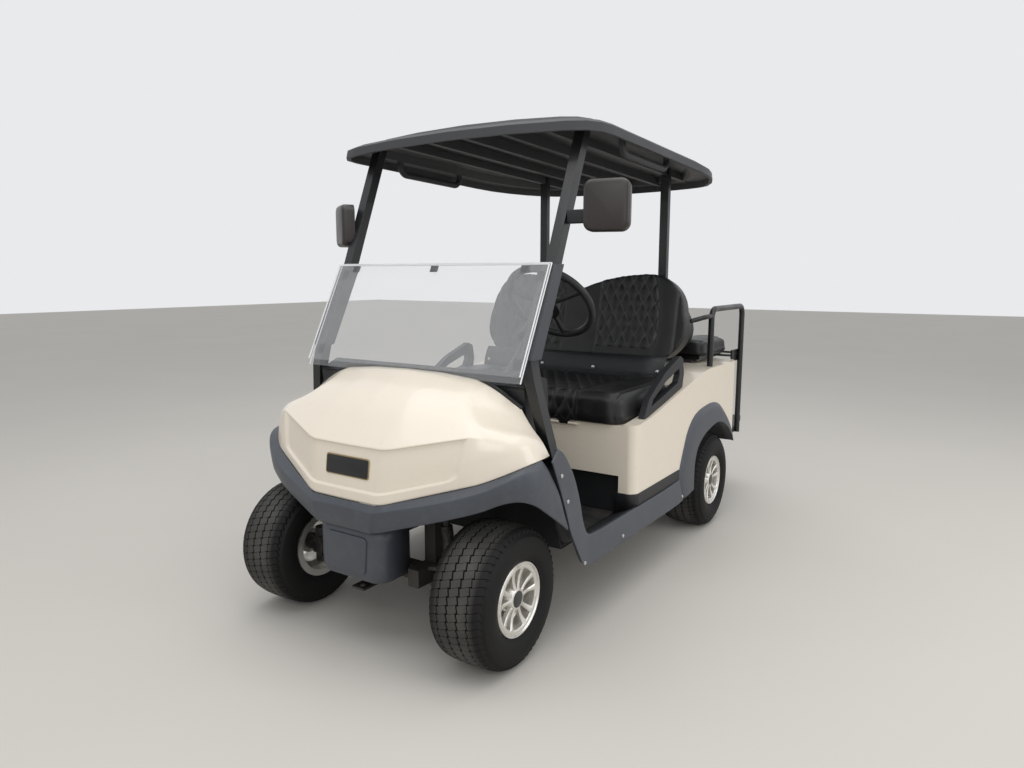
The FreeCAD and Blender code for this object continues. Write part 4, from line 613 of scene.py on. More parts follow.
# Glossy coloured-through plastic: warm cream with slow drifts of tone, a faint film of grime, and soft clear
# highlights that a slight orange peel breaks.
cream_moulding, tree, shader = new_finish("glossy_cream_thermoplastic", Coat_Weight=0.5,
                                          Coat_Roughness=0.08)
place = add(tree, "ShaderNodeTexCoord", {}).outputs["Object"]
cloud = add(tree, "ShaderNodeTexNoise", {"Vector": place, "Scale": 2.2, "Detail": 4.0})
tone = add(tree, "ShaderNodeMix", {0: cloud.outputs["Fac"], 6: linear("#EDE2D0"), 7: linear("#F2E8D8")},
           data_type="RGBA")
film = add(tree, "ShaderNodeTexNoise", {"Vector": place, "Scale": 30.0, "Detail": 9.0, "Roughness": 0.7})
grime = add(tree, "ShaderNodeMapRange", {"Value": film.outputs["Fac"], "From Min": 0.55, "From Max": 0.85,
                                         "To Max": 0.25})
tone = add(tree, "ShaderNodeMix", {0: grime.outputs[0], 6: tone.outputs[2], 7: linear("#CFC3B0")},
           data_type="RGBA")
tree.links.new(tone.outputs[2], shader.inputs["Base Color"])
peel = add(tree, "ShaderNodeTexNoise", {"Vector": place, "Scale": 55.0, "Detail": 1.0})
bump = add(tree, "ShaderNodeBump", {"Height": peel.outputs["Fac"], "Strength": 0.05, "Distance": 1.0 * MM})
tree.links.new(bump.outputs[0], shader.inputs["Normal"])
rough = add(tree, "ShaderNodeMapRange", {"Value": film.outputs["Fac"], "To Min": 0.24, "To Max": 0.42})
tree.links.new(rough.outputs[0], shader.inputs["Roughness"])

cowl = sheet_piece("nose_cowl", [cowl_grid], COWL_WALL, cream_moulding)
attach(cowl, "chassis")
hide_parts("front_cowl")


# Bumper: one slate band that sweeps back into the two front fenders.
# Textured coloured-through moulding; the light leaves it darker under its crease and paler on the fenders'
# crowns.
# It hangs from the frame's ends, and its middle stands forward of its sides by a small diagonal step.

BAND_WALL = 4.0
# Half rows of the band, from its lip up over its crease to the seam with the cowl.
BAND_LOW = [(0, -1050, 424), (132, -1050, 424), (350, -998, 489), (462, -949, 523), (520, -906, 551),
            (560, -868, 556), (590, -828, 538), (598, -770, 497), (598, -722, 465), (597, -689, 443),
            (596, -662, 424), (596, -644, 409)]
BAND_CREASE = [(0, -1060, 492), (140, -1060, 492), (350, -1003, 546), (465, -949, 582), (522, -909, 613),
               (562, -856, 636), (578, -802, 641), (577, -760, 630), (581, -729, 585), (589, -700, 536),
               (593, -673, 480), (595, -650, 430)]
BAND_SEAM = [(0, -1048, 513), (147, -1046, 513), (333, -974, 567), (450, -926, 602), (514, -881, 631),
             (552, -836, 651), (568, -788, 660), (568, -761, 661), (574, -734, 612), (585, -705, 557),
             (591, -676, 492), (595, -653, 437)]
BAND_SOFT = [0, 0.14, 0.3, 0.45, 0.45, 0.45, 0.45, 0.35, 0.45, 0.45, 0.45, 0]
BAND_SWELL = 2.5
# The step beside the middle: how far it stands out, its place in points, and its slant and width.
BAND_STEP = 5.0
STEP_AT = 1.0
STEP_SLANT = 0.05
# The fender swells between these points from the middle, fading in and out over the second value.
FENDER_SWELL = 9.0
FENDER_FROM = (3.2, 1.6)
FENDER_TO = (8.0, 3.0)
LIP_RETURN = 12.0
LIP_UP = 2.0
LIP_ROUND_IN = 3.0
LIP_ROUND_DOWN = 2.5
BAND_MIDDLE = len(BAND_LOW) - 1

across = np.concatenate([np.linspace(0, 9.8, 148), np.linspace(9.84, 12.16, 83), np.linspace(12.2, 22, 148)])
upward = np.concatenate([np.linspace(0, 0.9, 14), np.linspace(0.93, 1.07, 8), np.linspace(1.1, 2.0, 8)])
soft = BAND_SOFT[:0:-1] + BAND_SOFT
band_grid = skin([whole_row(half) for half in (BAND_LOW, BAND_CREASE, BAND_SEAM)], across, soft, upward,
                 [0, 0.05, 0])
facing = grid_normals(band_grid)
rise = upward[:, None]
reach = np.abs(across - BAND_MIDDLE)[None, :]
fading_in = ease((reach - FENDER_FROM[0]) / FENDER_FROM[1])
fading_out = ease((reach - FENDER_TO[0]) / FENDER_TO[1])
swell = (np.sin(np.pi * rise / 2) * FENDER_SWELL * (fading_in * (1 - fading_out))
         + np.sin(np.pi * np.clip(rise, 0, 1)) * BAND_SWELL)
step_in = ease((STEP_AT + STEP_SLANT * (rise - 1) - reach) / STEP_SLANT)
pushed = swell * ((rise > 0) & (rise < 2)) + BAND_STEP * step_in * (rise < 1.999)
band_grid = band_grid + facing * pushed[:, :, None]
lip = band_grid[0] - facing[0] * LIP_RETURN + (0, 0, LIP_UP)
rolled = band_grid[0] - facing[0] * LIP_ROUND_IN + (0, 0, -LIP_ROUND_DOWN)
band_grid = np.concatenate([lip[None], rolled[None], band_grid])

# Textured slate plastic: a satin sheen, clouds of tone and a paler haze where it has weathered. Its leather
# grain is drawn at 2 mm so that it shows.
slate_moulding, tree, shader = new_finish("textured_slate_polypropylene", Specular_IOR_Level=0.6)
place = add(tree, "ShaderNodeTexCoord", {}).outputs["Object"]
cloud = add(tree, "ShaderNodeTexNoise", {"Vector": place, "Scale": 5.0, "Detail": 7.0})
tone = add(tree, "ShaderNodeMix", {0: cloud.outputs["Fac"], 6: linear("#3A3E45"), 7: linear("#4A4F57")},
           data_type="RGBA")
film = add(tree, "ShaderNodeTexNoise", {"Vector": place, "Scale": 24.0, "Detail": 9.0, "Roughness": 0.7})
haze = add(tree, "ShaderNodeMapRange", {"Value": film.outputs["Fac"], "From Min": 0.5, "From Max": 0.85,
                                        "To Max": 0.35})
tone = add(tree, "ShaderNodeMix", {0: haze.outputs[0], 6: tone.outputs[2], 7: linear("#666B72")},
           data_type="RGBA")
tree.links.new(tone.outputs[2], shader.inputs["Base Color"])
leather_grain = add(tree, "ShaderNodeTexVoronoi", {"Vector": place, "Scale": 480.0})
bump = add(tree, "ShaderNodeBump", {"Height": leather_grain.outputs["Distance"], "Strength": 0.22,
                                    "Distance": 0.4 * MM})
tree.links.new(bump.outputs[0], shader.inputs["Normal"])
rough = add(tree, "ShaderNodeMapRange", {"Value": film.outputs["Fac"], "To Min": 0.34, "To Max": 0.56})
tree.links.new(rough.outputs[0], shader.inputs["Roughness"])

band = sheet_piece("bumper_band", [band_grid], BAND_WALL, slate_moulding)
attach(band, "chassis")
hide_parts("front_bumper")


# Chin: the dark cover between the front wheels, the splash guards beside it, and the blank front plate.
# The cover is the bumper's slate moulding with a raised pad; the guards are thin black sheet behind the band.
# The plate is plain black with a thin tan border, stuck on the sunk cream panel.

def other_side(grid):
    """The same grid on the right of the cart, with its outside still outwards."""
    return grid[:, ::-1] * (-1, 1, 1)


LINER_WALL = 3.0
# The splash guard under the band: out from the middle, back from mid-wheelbase, up.
LINER_ROWS = [
    [(140, -1034, 440), (300, -990, 474), (420, -950, 520),
     (510, -896, 556), (560, -850, 566), (586, -800, 520)],
    [(140, -1020, 500), (300, -968, 530), (420, -930, 570),
     (505, -880, 600), (550, -830, 610), (566, -780, 600)],
    [(140, -880, 560), (300, -880, 580), (420, -860, 596),
     (500, -830, 610), (540, -790, 618), (556, -760, 610)],
    [(140, -720, 470), (300, -718, 530), (420, -716, 560),
     (500, -714, 580), (540, -712, 570), (560, -708, 500)],
]
guard_grid = skin(LINER_ROWS, np.linspace(0, 5, 31), 0.4, np.linspace(0, 3, 19), 0.4)
guards = sheet_piece("splash_guards", [guard_grid, other_side(guard_grid)], LINER_WALL, black_moulding)
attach(guards, "chassis")

CHIN_HALF = 148.0
CHIN_CORNER_R = 56.0
CHIN_FRONT_Y = -1038.0
CHIN_REAR_Y = -902.0
corner_steps = np.linspace(0, math.pi / 2, 13)
chin_plan = [(-CHIN_HALF, CHIN_REAR_Y)]
chin_plan += [(CHIN_CORNER_R * (1 - math.cos(turn)) - CHIN_HALF,
               CHIN_FRONT_Y + CHIN_CORNER_R * (1 - math.sin(turn))) for turn in corner_steps]
chin_plan += [(-x, y) for x, y in chin_plan[::-1]]
# Each level of the cover: up, and how far it draws in.
CHIN_LEVELS = [(232, 46), (236, 26), (246, 10), (264, 2), (300, 0), (380, 0), (436, 3)]
chin_depth = CHIN_REAR_Y - CHIN_FRONT_Y
chin_grid = np.array([[(x * (1 - inset / CHIN_HALF), y + inset * (CHIN_REAR_Y - y) / chin_depth, z)
                       for x, y in chin_plan] for z, inset in CHIN_LEVELS])
chin = sheet_piece("chin_cover_shell", [chin_grid], BAND_WALL, slate_moulding)
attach(chin, "chassis")
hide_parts("chin_cover")
# The raised pad on the cover's front: out from the middle, and up.
PAD_FORM = [(-80, 268), (80, 268), (90, 396), (-90, 396)]


def rounded_slab(name, corners, corner_r, thickness, edge, material):
    """A flat slab in x and z, in millimetres: rounded corners, a softened front edge, its back at y = 0."""
    depth = thickness * MM
    shape = bmesh.new()
    face = shape.faces.new([shape.verts.new((x * MM, 0, z * MM)) for x, z in corners])
    face.normal_update()
    if face.normal.y > 0:
        face.normal_flip()
    grown = bmesh.ops.extrude_face_region(shape, geom=[face])
    for vert in grown["geom"]:
        if isinstance(vert, bmesh.types.BMVert):
            vert.co.y -= depth
    upright = [e for e in shape.edges if abs(e.verts[0].co.y - e.verts[1].co.y) > depth / 2]
    bmesh.ops.bevel(shape, geom=upright, offset=corner_r * MM, segments=6, profile=0.5, affect="EDGES")
    rim = [e for e in shape.edges if max(vert.co.y for vert in e.verts) < -0.99 * depth]
    bmesh.ops.bevel(shape, geom=rim, offset=edge * MM, segments=3, profile=0.5, affect="EDGES")
    bmesh.ops.recalc_face_normals(shape, faces=shape.faces)
    mesh = bpy.data.meshes.new(name)
    shape.to_mesh(mesh)
    shape.free()
    return finished_piece(name, mesh, material)


PAD_CORNER_R = 20.0
PAD_THICK = 7.0
PAD_EDGE = 4.0
# The pad's back lies this far inside the cover's face.
PAD_SEAT = 1.0
chin_pad = rounded_slab("chin_pad", PAD_FORM, PAD_CORNER_R, PAD_THICK, PAD_EDGE, slate_moulding)
chin_pad.location = at(0, CHIN_FRONT_Y + PAD_SEAT, 0)
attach(chin_pad, "chassis")

# The plate's place and lean on the sunk panel.
PLATE_X = 4.0
PLATE_Z = 618.0
PLATE_TILT = math.radians(-6.8)


def oblong(low_x, low_z, high_x, high_z):
    """The four corners of an upright oblong slab."""
    return [(low_x, low_z), (high_x, low_z), (high_x, high_z), (low_x, high_z)]


def mottled(name, dark, light, cloud, grain, depth, rough_low, rough_high, **sockets):
    """A finish that drifts between two tones, with its own grain and uneven gloss.

    Cloud and grain are counts to the metre. The real grains are finer, drawn here at 1 to 5 mm to show."""
    material, tree, shader = new_finish(name, **sockets)
    place = add(tree, "ShaderNodeTexCoord", {}).outputs["Object"]
    drift = add(tree, "ShaderNodeTexNoise", {"Vector": place, "Scale": cloud, "Detail": 7.0})
    tone = add(tree, "ShaderNodeMix", {0: drift.outputs["Fac"], 6: linear(dark), 7: linear(light)},
               data_type="RGBA")
    tree.links.new(tone.outputs[2], shader.inputs["Base Color"])
    rough = add(tree, "ShaderNodeMapRange", {"Value": drift.outputs["Fac"], "From Min": 0.3, "From Max": 0.7,
                                             "To Min": rough_low, "To Max": rough_high})
    tree.links.new(rough.outputs[0], shader.inputs["Roughness"])
    pores = add(tree, "ShaderNodeTexVoronoi", {"Vector": place, "Scale": grain})
    bump = add(tree, "ShaderNodeBump", {"Height": pores.outputs["Distance"], "Strength": 0.3,
                                        "Distance": depth})
    tree.links.new(bump.outputs[0], shader.inputs["Normal"])
    return material


# Black lacquer with a slight sheen, so the blank plate reads as a smooth sheet on the cream panel.
plate_lacquer = mottled("black_plate_lacquer", "#141517", "#1B1C1F", 18.0, 300.0, 0.05 * MM, 0.3, 0.42)
# Dull tan print that draws a thin line round the plate.
border_print = mottled("tan_border_print", "#8F7A52", "#A58F66", 30.0, 300.0, 0.05 * MM, 0.45, 0.6)
plate_layers = [
    # name, half width, half height, corner radius, thickness, back from mid-wheelbase, finish
    ("plate_border", 95.0, 33.0, 9.0, 2.0, -1029.0, border_print),
    ("plate_face", 91.5, 29.5, 7.0, 0.8, -1031.0, plate_lacquer),
]
for name, half_x, half_z, corner_r, thickness, back, finish in plate_layers:
    plate = rounded_slab(name, oblong(-half_x, -half_z, half_x, half_z), corner_r, thickness, 0.3, finish)
    plate.location = at(PLATE_X, back, PLATE_Z)
    plate.rotation_euler = (PLATE_TILT, 0, 0)
    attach(plate, "chassis")


# Sills and steps: a slate sill below each cab opening, whose front leg rises along the strut's foot.
# It is the bumper's slate moulding, held by round-headed zinc bolts.
# Black mouldings close the floor's edge behind it and the foot of the rear body.

# Bright zinc plating that gives small sharp glints on dark mouldings.
zinc_plating = mottled("bright_zinc_plating", "#B9BBBD", "#D6D7D8", 60.0, 500.0, 0.05 * MM, 0.22, 0.38,
                       Metallic=0.9)

SILL_WALL = 4.0
# Rows of the left sill from the strut's foot down its leg and back to the rear fender: out from the middle,
# back, up. Two are its lower and upper edges, and the others turn in behind those.
SILL_EDGE = [(594, -744, 652), (598, -700, 560), (600, -652, 450), (601, -634, 398), (602, -587, 323),
             (602, -548, 262), (602, -508, 240), (602, -350, 240), (602, -100, 239), (602, 150, 236),
             (602, 330, 236), (602, 388, 241)]
SILL_TOP = [(588, -698, 686), (590, -664, 668), (592, -616, 608), (594, -588, 556), (595, -558, 484),
            (594, -535, 409), (594, -503, 350), (596, -450, 339), (598, -100, 338), (598, 137, 336),
            (598, 300, 339), (598, 343, 342)]
SILL_TURN_IN = 16
SILL_RETURN_X = 590
SILL_LAP = 3
SILL_FLANGE = [(x - SILL_TURN_IN, y + SILL_LAP, z - SILL_LAP) for x, y, z in SILL_TOP]
SILL_RETURN = [(SILL_RETURN_X, y, z + SILL_LAP) for x, y, z in SILL_EDGE]
# The floor's edge inside the cab opening, in the same way: its outer row and its inner row.
TREAD_OUT = [(575, -640, 628), (577, -600, 572), (578, -560, 478), (578, -533, 402), (578, -500, 346),
             (579, -450, 334), (581, -112, 334)]
TREAD_IN = [(503, -650, 560), (503, -625, 500), (503, -590, 400), (503, -545, 322), (503, -505, 299),
            (503, -450, 298), (503, -112, 298)]
sill_upward = np.concatenate([np.linspace(0, 0.9, 3), np.linspace(0.94, 1.06, 5), np.linspace(1.1, 1.9, 9),
                              np.linspace(1.92, 2.3, 8), np.linspace(2.5, 3, 3)])
sill_grid = skin([SILL_RETURN, SILL_EDGE, SILL_TOP, SILL_FLANGE], np.linspace(0, 11, 133), 0.42,
                 sill_upward, [0, 0.05, 0.2, 0])
sills = sheet_piece("sill_panels", [sill_grid, other_side(sill_grid)], SILL_WALL, slate_moulding)
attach(sills, "chassis")
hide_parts("side_sills")

tread_grid = skin([TREAD_OUT, TREAD_IN], np.linspace(0, 6, 61), 0.42, np.linspace(0, 1, 6), 0.0)
EDGE_WALL = 3.0
# The strip round the foot of the rear body's front corner: its levels, and its plan from the kick panel back.
STRIP_LOW_Z = 297.0
STRIP_TOP_Z = 386.0
STRIP_IN_X = 504.0
STRIP_BEND_X = 530.0
STRIP_OUT_X = 593.0
STRIP_FRONT_Y = -113.0
STRIP_CORNER_R = 43.0
STRIP_SIDE_Y = (-60.0, 352.0)
corner_x = STRIP_OUT_X - STRIP_CORNER_R
corner_y = STRIP_FRONT_Y + STRIP_CORNER_R
strip_plan = [(STRIP_IN_X, STRIP_FRONT_Y), (STRIP_BEND_X, STRIP_FRONT_Y)]
strip_plan += [(corner_x + STRIP_CORNER_R * math.sin(turn), corner_y - STRIP_CORNER_R * math.cos(turn))
               for turn in corner_steps]
strip_plan += [(STRIP_OUT_X, y) for y in np.linspace(*STRIP_SIDE_Y, 24)]
# Each level of the strip: up, and how far its rounded top draws in.
strip_levels = [(STRIP_LOW_Z, 0.0), (STRIP_TOP_Z - 6, 0.0), (STRIP_TOP_Z - 1.5, 0.8), (STRIP_TOP_Z, 2.2)]
strip_grid = np.array([[(x - lean, y, z) for x, y in strip_plan] for z, lean in strip_levels])
edge_grids = [tread_grid, other_side(tread_grid), strip_grid, other_side(strip_grid)]
floor_edges = sheet_piece("floor_edge_mouldings", edge_grids, EDGE_WALL, black_moulding)
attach(floor_edges, "chassis")

SILL_BOLTS = [(602.5, -536, 261), (602.5, -236, 266), (602.5, 372, 262), (597.0, -691, 598),
              (598.5, -652, 505)]
SILL_BOLT_R = 7.0 * MM
SILL_BOLT_HEIGHT = 4.6 * MM
for side, word in ((1, "left"), (-1, "right")):
    bolts = domed_heads("sill_bolts_" + word, [at(side * x, y, z) for x, y, z in SILL_BOLTS], (side, 0, 0),
                        SILL_BOLT_R, SILL_BOLT_HEIGHT, zinc_plating)
    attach(bolts, "chassis")


# Dash: a black moulded dash across the cab with an open tray, two pedals below it, and the steering wheel.
# The dash is grained moulding; the wheel's rim is thick foamed rubber on a steel spider.

dress("dash_panel", black_moulding, 3.0, 3)
# Semi-gloss powder coat that lays a soft streak along every black tube.
powder_coat = mottled("black_powder_coated_steel", "#131415", "#1D1E20", 10.0, 800.0, 0.12 * MM, 0.3, 0.44,
                      Coat_Weight=0.15)
dress("pedals", powder_coat, 1.5)
# Matt foamed rubber with a worn sheen where hands hold it.
wheel_foam = mottled("foamed_rubber_grip", "#151516", "#222224", 20.0, 900.0, 0.2 * MM, 0.42, 0.62)
dress("steering_wheel", wheel_foam, 2.0)


# Top: bent tube struts carry the canopy; slate covers hide the front ones beside the windshield.
# The windshield is two clear acrylic panes held by rubber clips, and a mirror stands out at each side.

for node in ("front_struts", "rear_struts"):
    dress(node, powder_coat, 2.5, 3)
# Darker, smoother slate of the strut covers, which show two flat planes with a crisp edge.
cover_moulding = mottled("dark_slate_polypropylene", "#393B40", "#474A50", 6.0, 480.0, 0.3 * MM, 0.4, 0.55)
dress("strut_covers", cover_moulding, 2.0)

# Clear acrylic sheet: almost nothing but its reflections, hazed a little along the streaks of the last wipe.
clear_acrylic, tree, shader = new_finish("clear_acrylic_sheet", Alpha=0.09, Specular_IOR_Level=0.6,
                                         Coat_Weight=0.5, Coat_Roughness=0.02)
place = add(tree, "ShaderNodeTexCoord", {}).outputs["Object"]
wipe = add(tree, "ShaderNodeMapping", {"Vector": place, "Scale": (3.0, 3.0, 9.0)})
streaks = add(tree, "ShaderNodeTexNoise", {"Vector": wipe.outputs[0], "Scale": 2.0, "Detail": 8.0})
tone = add(tree, "ShaderNodeMix", {0: streaks.outputs["Fac"], 6: linear("#E2E6E9"), 7: linear("#F4F5F6")},
           data_type="RGBA")
tree.links.new(tone.outputs[2], shader.inputs["Base Color"])
rough = add(tree, "ShaderNodeMapRange", {"Value": streaks.outputs["Fac"], "To Min": 0.04, "To Max": 0.16})
tree.links.new(rough.outputs[0], shader.inputs["Roughness"])
dress("windshield", clear_acrylic)

# Brown-black satin housing, so its rounded front keeps a soft highlight.
mirror_shell = mottled("brown_black_mirror_shell", "#272322", "#332D2B", 9.0, 350.0, 0.12 * MM, 0.32, 0.44)
# Silvered glass that faces the driver and throws back the pale studio.
silvered_glass = mottled("silvered_mirror_glass", "#BFC4C7", "#D3D7D9", 4.0, 200.0, 0.01 * MM, 0.03, 0.07,
                         Metallic=1.0)
MIRROR_HALF_WIDTH = 75.0
MIRROR_HALF_HEIGHT = 83.0
ARM_HALF_HEIGHT = 22.0
ARM_DEPTH = 26.0
ARM_CORNER_R = 6.0
ARM_EDGE = 4.0
mirror_parts = [
    # part, how far it stays inside the outline, corner radius, depth, edge, finish, turn from the housing
    ("housing", 0.0, 30.0, 50.0, 15.0, mirror_shell, 0.0),
    ("glass", 9.0, 22.0, 1.5, 0.4, silvered_glass, 180.0),
]
mirror_pieces = []
# Each mirror: side, place, turn towards the driver in degrees.
for side, place, turn in (("left", (622, -452, 1443), 18.0), ("right", (-528, -458, 1416), -33.0)):
    for part, inset, corner_r, depth, edge, finish, about in mirror_parts:
        half_x = MIRROR_HALF_WIDTH - inset
        half_z = MIRROR_HALF_HEIGHT - inset
        mirror = rounded_slab("mirror_" + part + "_" + side, oblong(-half_x, -half_z, half_x, half_z),
                              corner_r, depth, edge, finish)
        mirror.location = at(*place)
        mirror.rotation_euler = (0, 0, math.radians(turn + about))
        mirror_pieces.append(mirror)
# Each arm: side, from and to across the cart, back, up.
for side, low_x, high_x, y, z in (("left", 486, 566, -458, 1412), ("right", -540, -486, -462, 1396)):
    arm = rounded_slab("mirror_arm_" + side, oblong(low_x, -ARM_HALF_HEIGHT, high_x, ARM_HALF_HEIGHT),
                       ARM_CORNER_R, ARM_DEPTH, ARM_EDGE, black_moulding)
    arm.location = at(0, y, z)
    mirror_pieces.append(arm)
for piece in mirror_pieces:
    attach(piece, "chassis")
    if "housing" in piece.name:
        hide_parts("mirrors")

# Coarse-grained charcoal sheet whose matt crown stays paler than its shaded ribs.
roof_sheet = mottled("charcoal_grained_polyethylene", "#2E2F32", "#3C3D40", 5.0, 330.0, 0.7 * MM, 0.5, 0.64)
dress("roof", roof_sheet, 4.0, 3)
dress("roof_handles", roof_sheet, 2.5, 3)


# Rear body: one hollow cream moulding under the seats, and the slate fenders over the rear wheels.
# The same two mouldings as the nose, so they match it in colour and gloss.

dress("rear_body", cream_moulding, 4.0, 3)

# The left rear fender's outer edge and its lip over the tyre, each from its foot on the sill over the arch
# to its tail: back from mid-wheelbase, up.
FLARE_EDGE = [(388, 241), (343, 342), (372, 415), (404, 471), (440, 537), (510, 592), (600, 617),
              (765, 627), (870, 605), (975, 537), (1060, 457), (1088, 386)]
FLARE_LIP = [(508, 262), (505, 320), (507, 370), (515, 405), (540, 447), (585, 476), (655, 502),
             (790, 524), (880, 515), (980, 472), (1050, 417), (1078, 380)]
FLARE_X = 592.0
LIP_X = 608.0
LINER_IN_X = 436.0
# The flare is fullest at this share of the way from its edge to its lip.
CREST_SHARE = 0.28
CREST_IN = 3
LIP_TURN_IN = 20
LIP_LAP = 3
LINER_GAP_X = 6
LINER_GAP_Z = 4
crest = [(LIP_X - CREST_IN, y + CREST_SHARE * (lip_y - y), z + CREST_SHARE * (lip_z - z))
         for (y, z), (lip_y, lip_z) in zip(FLARE_EDGE, FLARE_LIP)]
flare_rows = [[(LIP_X - LIP_TURN_IN, y, z + LIP_LAP) for y, z in FLARE_LIP],
              [(LIP_X, y, z) for y, z in FLARE_LIP], crest, [(FLARE_X, y, z) for y, z in FLARE_EDGE]]
flare_upward = np.concatenate([np.linspace(0, 0.9, 3), np.linspace(0.94, 1.1, 6), np.linspace(1.15, 3, 24)])
flare_grid = skin(flare_rows, np.linspace(0, 11, 133), 0.45, flare_upward, [0, 0.06, 0.45, 0])
fenders = sheet_piece("rear_fender_flares", [flare_grid, other_side(flare_grid)], BAND_WALL, slate_moulding)
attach(fenders, "chassis")
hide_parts("rear_fenders")
arch_rows = [[(x, y, z + LINER_GAP_Z) for y, z in FLARE_LIP] for x in (LINER_IN_X, LIP_X - LINER_GAP_X)]
arch_grid = skin(arch_rows, np.linspace(0, 11, 89), 0.45, np.linspace(0, 1, 5), 0.0)[::-1]
liners = sheet_piece("rear_arch_liners", [arch_grid, other_side(arch_grid)], LINER_WALL, black_moulding)
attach(liners, "chassis")


# Seat frames: the board behind the bench, arm loops at its ends, rails, seat base and the flip-over deck.
# Tubes and pressed plate are powder coated; the arm loops and the footplate are black moulding.

dress("hip_restraints", black_moulding, 8.0, 4)
for node in ("seat_board", "footplate"):
    dress(node, black_moulding, 3.0, 3)
BOARD_HALF = 482.0
BOARD_WALL = 5.0
# The face of the board behind the bench, from its foot to its top: back from mid-wheelbase, up.
BOARD_FACE = [(402.0, 690.0), (402.0, 776.0), (406.0, 800.0), (424.0, 840.0), (440.0, 862.0)]
BOARD_BOLTS_X = (-455, -138, 138, 455)
BOARD_BOLTS_Y = 405.5
BOARD_BOLTS_Z = 799
BOARD_BOLT_R = 8.0 * MM
BOARD_BOLT_HEIGHT = 5.3 * MM
board_grid = np.array([[(x, y, z) for x in np.linspace(-BOARD_HALF, BOARD_HALF, 9)] for y, z in BOARD_FACE])
board_face = sheet_piece("bench_board_face", [board_grid], BOARD_WALL, black_moulding)
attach(board_face, "chassis")
board_bolts = domed_heads("bench_board_bolts", [at(x, BOARD_BOLTS_Y, BOARD_BOLTS_Z) for x in BOARD_BOLTS_X],
                          (0, -1, 0.12), BOARD_BOLT_R, BOARD_BOLT_HEIGHT, zinc_plating)
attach(board_bolts, "chassis")
for node in ("seat_back_frame", "side_rails", "rear_seat_base", "rear_deck"):
    dress(node, powder_coat, 1.5)


# Seats: bench cushions and backrests of foam under black vinyl, each on its board or frame.
# The middles are quilted in diamonds with a twin grey stitch, and the ends are smooth rolled bolsters.
# The foam swells between the stitches, which pull the skin down.

QUILT_ACROSS = 58.0 * MM
QUILT_ALONG = 95.0 * MM
# How far foam and bolsters stand up and the seams and stitches lie below them, in millimetres.
PUFF = 6.5
STITCH_PULL = 2.5
BOLSTER = 6.0
SEAM_PULL = 3.0
SEAM_WIDTH = 6.0 * MM
SIDE_SWELL = 4.0
# The quilt fades in over this width at a seam, and starts above a plain band at a cushion's foot.
QUILT_FADE = 10.0 * MM
FOOT_BAND = 12.0 * MM
FOOT_FADE = 20.0 * MM
# How the outer seam of a backrest bows: metres inwards for each square metre of height from its middle.
SEAM_BOW = 0.9
# The twin threads, in shares of a diamond, and how many stitches go to one.
THREAD_OFFSET = 0.04
THREAD_HALF = 0.013
STITCHES = 9.0
PAD_GRID = 5.0 * MM


def quilted_vinyl(name, along):
    """Black vinyl with crossing twin stitches where the mesh's quilt value is 1."""
    material = mottled(name, "#0B0B0C", "#141415", 14.0, 950.0, 0.2 * MM, 0.36, 0.52)
    tree = material.node_tree
    shader = tree.nodes["Principled BSDF"]
    place = add(tree, "ShaderNodeTexCoord", {}).outputs["Object"]
    zone = add(tree, "ShaderNodeAttribute", {}, attribute_name="quilt")
    courses = []
    for sign in (1, -1):
        lay = (1 / QUILT_ACROSS, sign * along[1] / QUILT_ALONG, sign * along[2] / QUILT_ALONG)
        course = add(tree, "ShaderNodeVectorMath", {0: place, 1: lay}, operation="DOT_PRODUCT")
        courses.append(course.outputs["Value"])
    threads = []
    for here, crossing in (courses, courses[::-1]):
        off = add(tree, "ShaderNodeMath", {0: here, 1: 0.5}, operation="PINGPONG")
        twin = add(tree, "ShaderNodeMath", {0: off.outputs[0], 1: THREAD_OFFSET, 2: THREAD_HALF},
                   operation="COMPARE")
        steps = add(tree, "ShaderNodeMath", {0: crossing, 1: STITCHES}, operation="MULTIPLY")
        gap = add(tree, "ShaderNodeMath", {0: steps.outputs[0], 1: 0.5}, operation="PINGPONG")
        stitch = add(tree, "ShaderNodeMath", {0: gap.outputs[0], 1: 0.1}, operation="GREATER_THAN")
        thread = add(tree, "ShaderNodeMath", {0: twin.outputs[0], 1: stitch.outputs[0]},
                     operation="MULTIPLY")
        threads.append(thread.outputs[0])
    both = add(tree, "ShaderNodeMath", {0: threads[0], 1: threads[1]}, operation="MAXIMUM")
    shown = add(tree, "ShaderNodeMath", {0: both.outputs[0], 1: zone.outputs["Fac"]}, operation="MULTIPLY")
    skin_tone = shader.inputs["Base Color"].links[0].from_socket
    tone = add(tree, "ShaderNodeMix", {0: shown.outputs[0], 6: skin_tone, 7: linear("#4C4C50")},
               data_type="RGBA")
    tree.links.new(tone.outputs[2], shader.inputs["Base Color"])
    return material


def puffs(x, along):
    """How far the foam stands up between two crossing sets of stitches, from 0 on a stitch to 1."""
    first = x / QUILT_ACROSS + along / QUILT_ALONG
    second = x / QUILT_ACROSS - along / QUILT_ALONG
    return (np.abs(np.sin(np.pi * first)) * np.abs(np.sin(np.pi * second))) ** 0.45


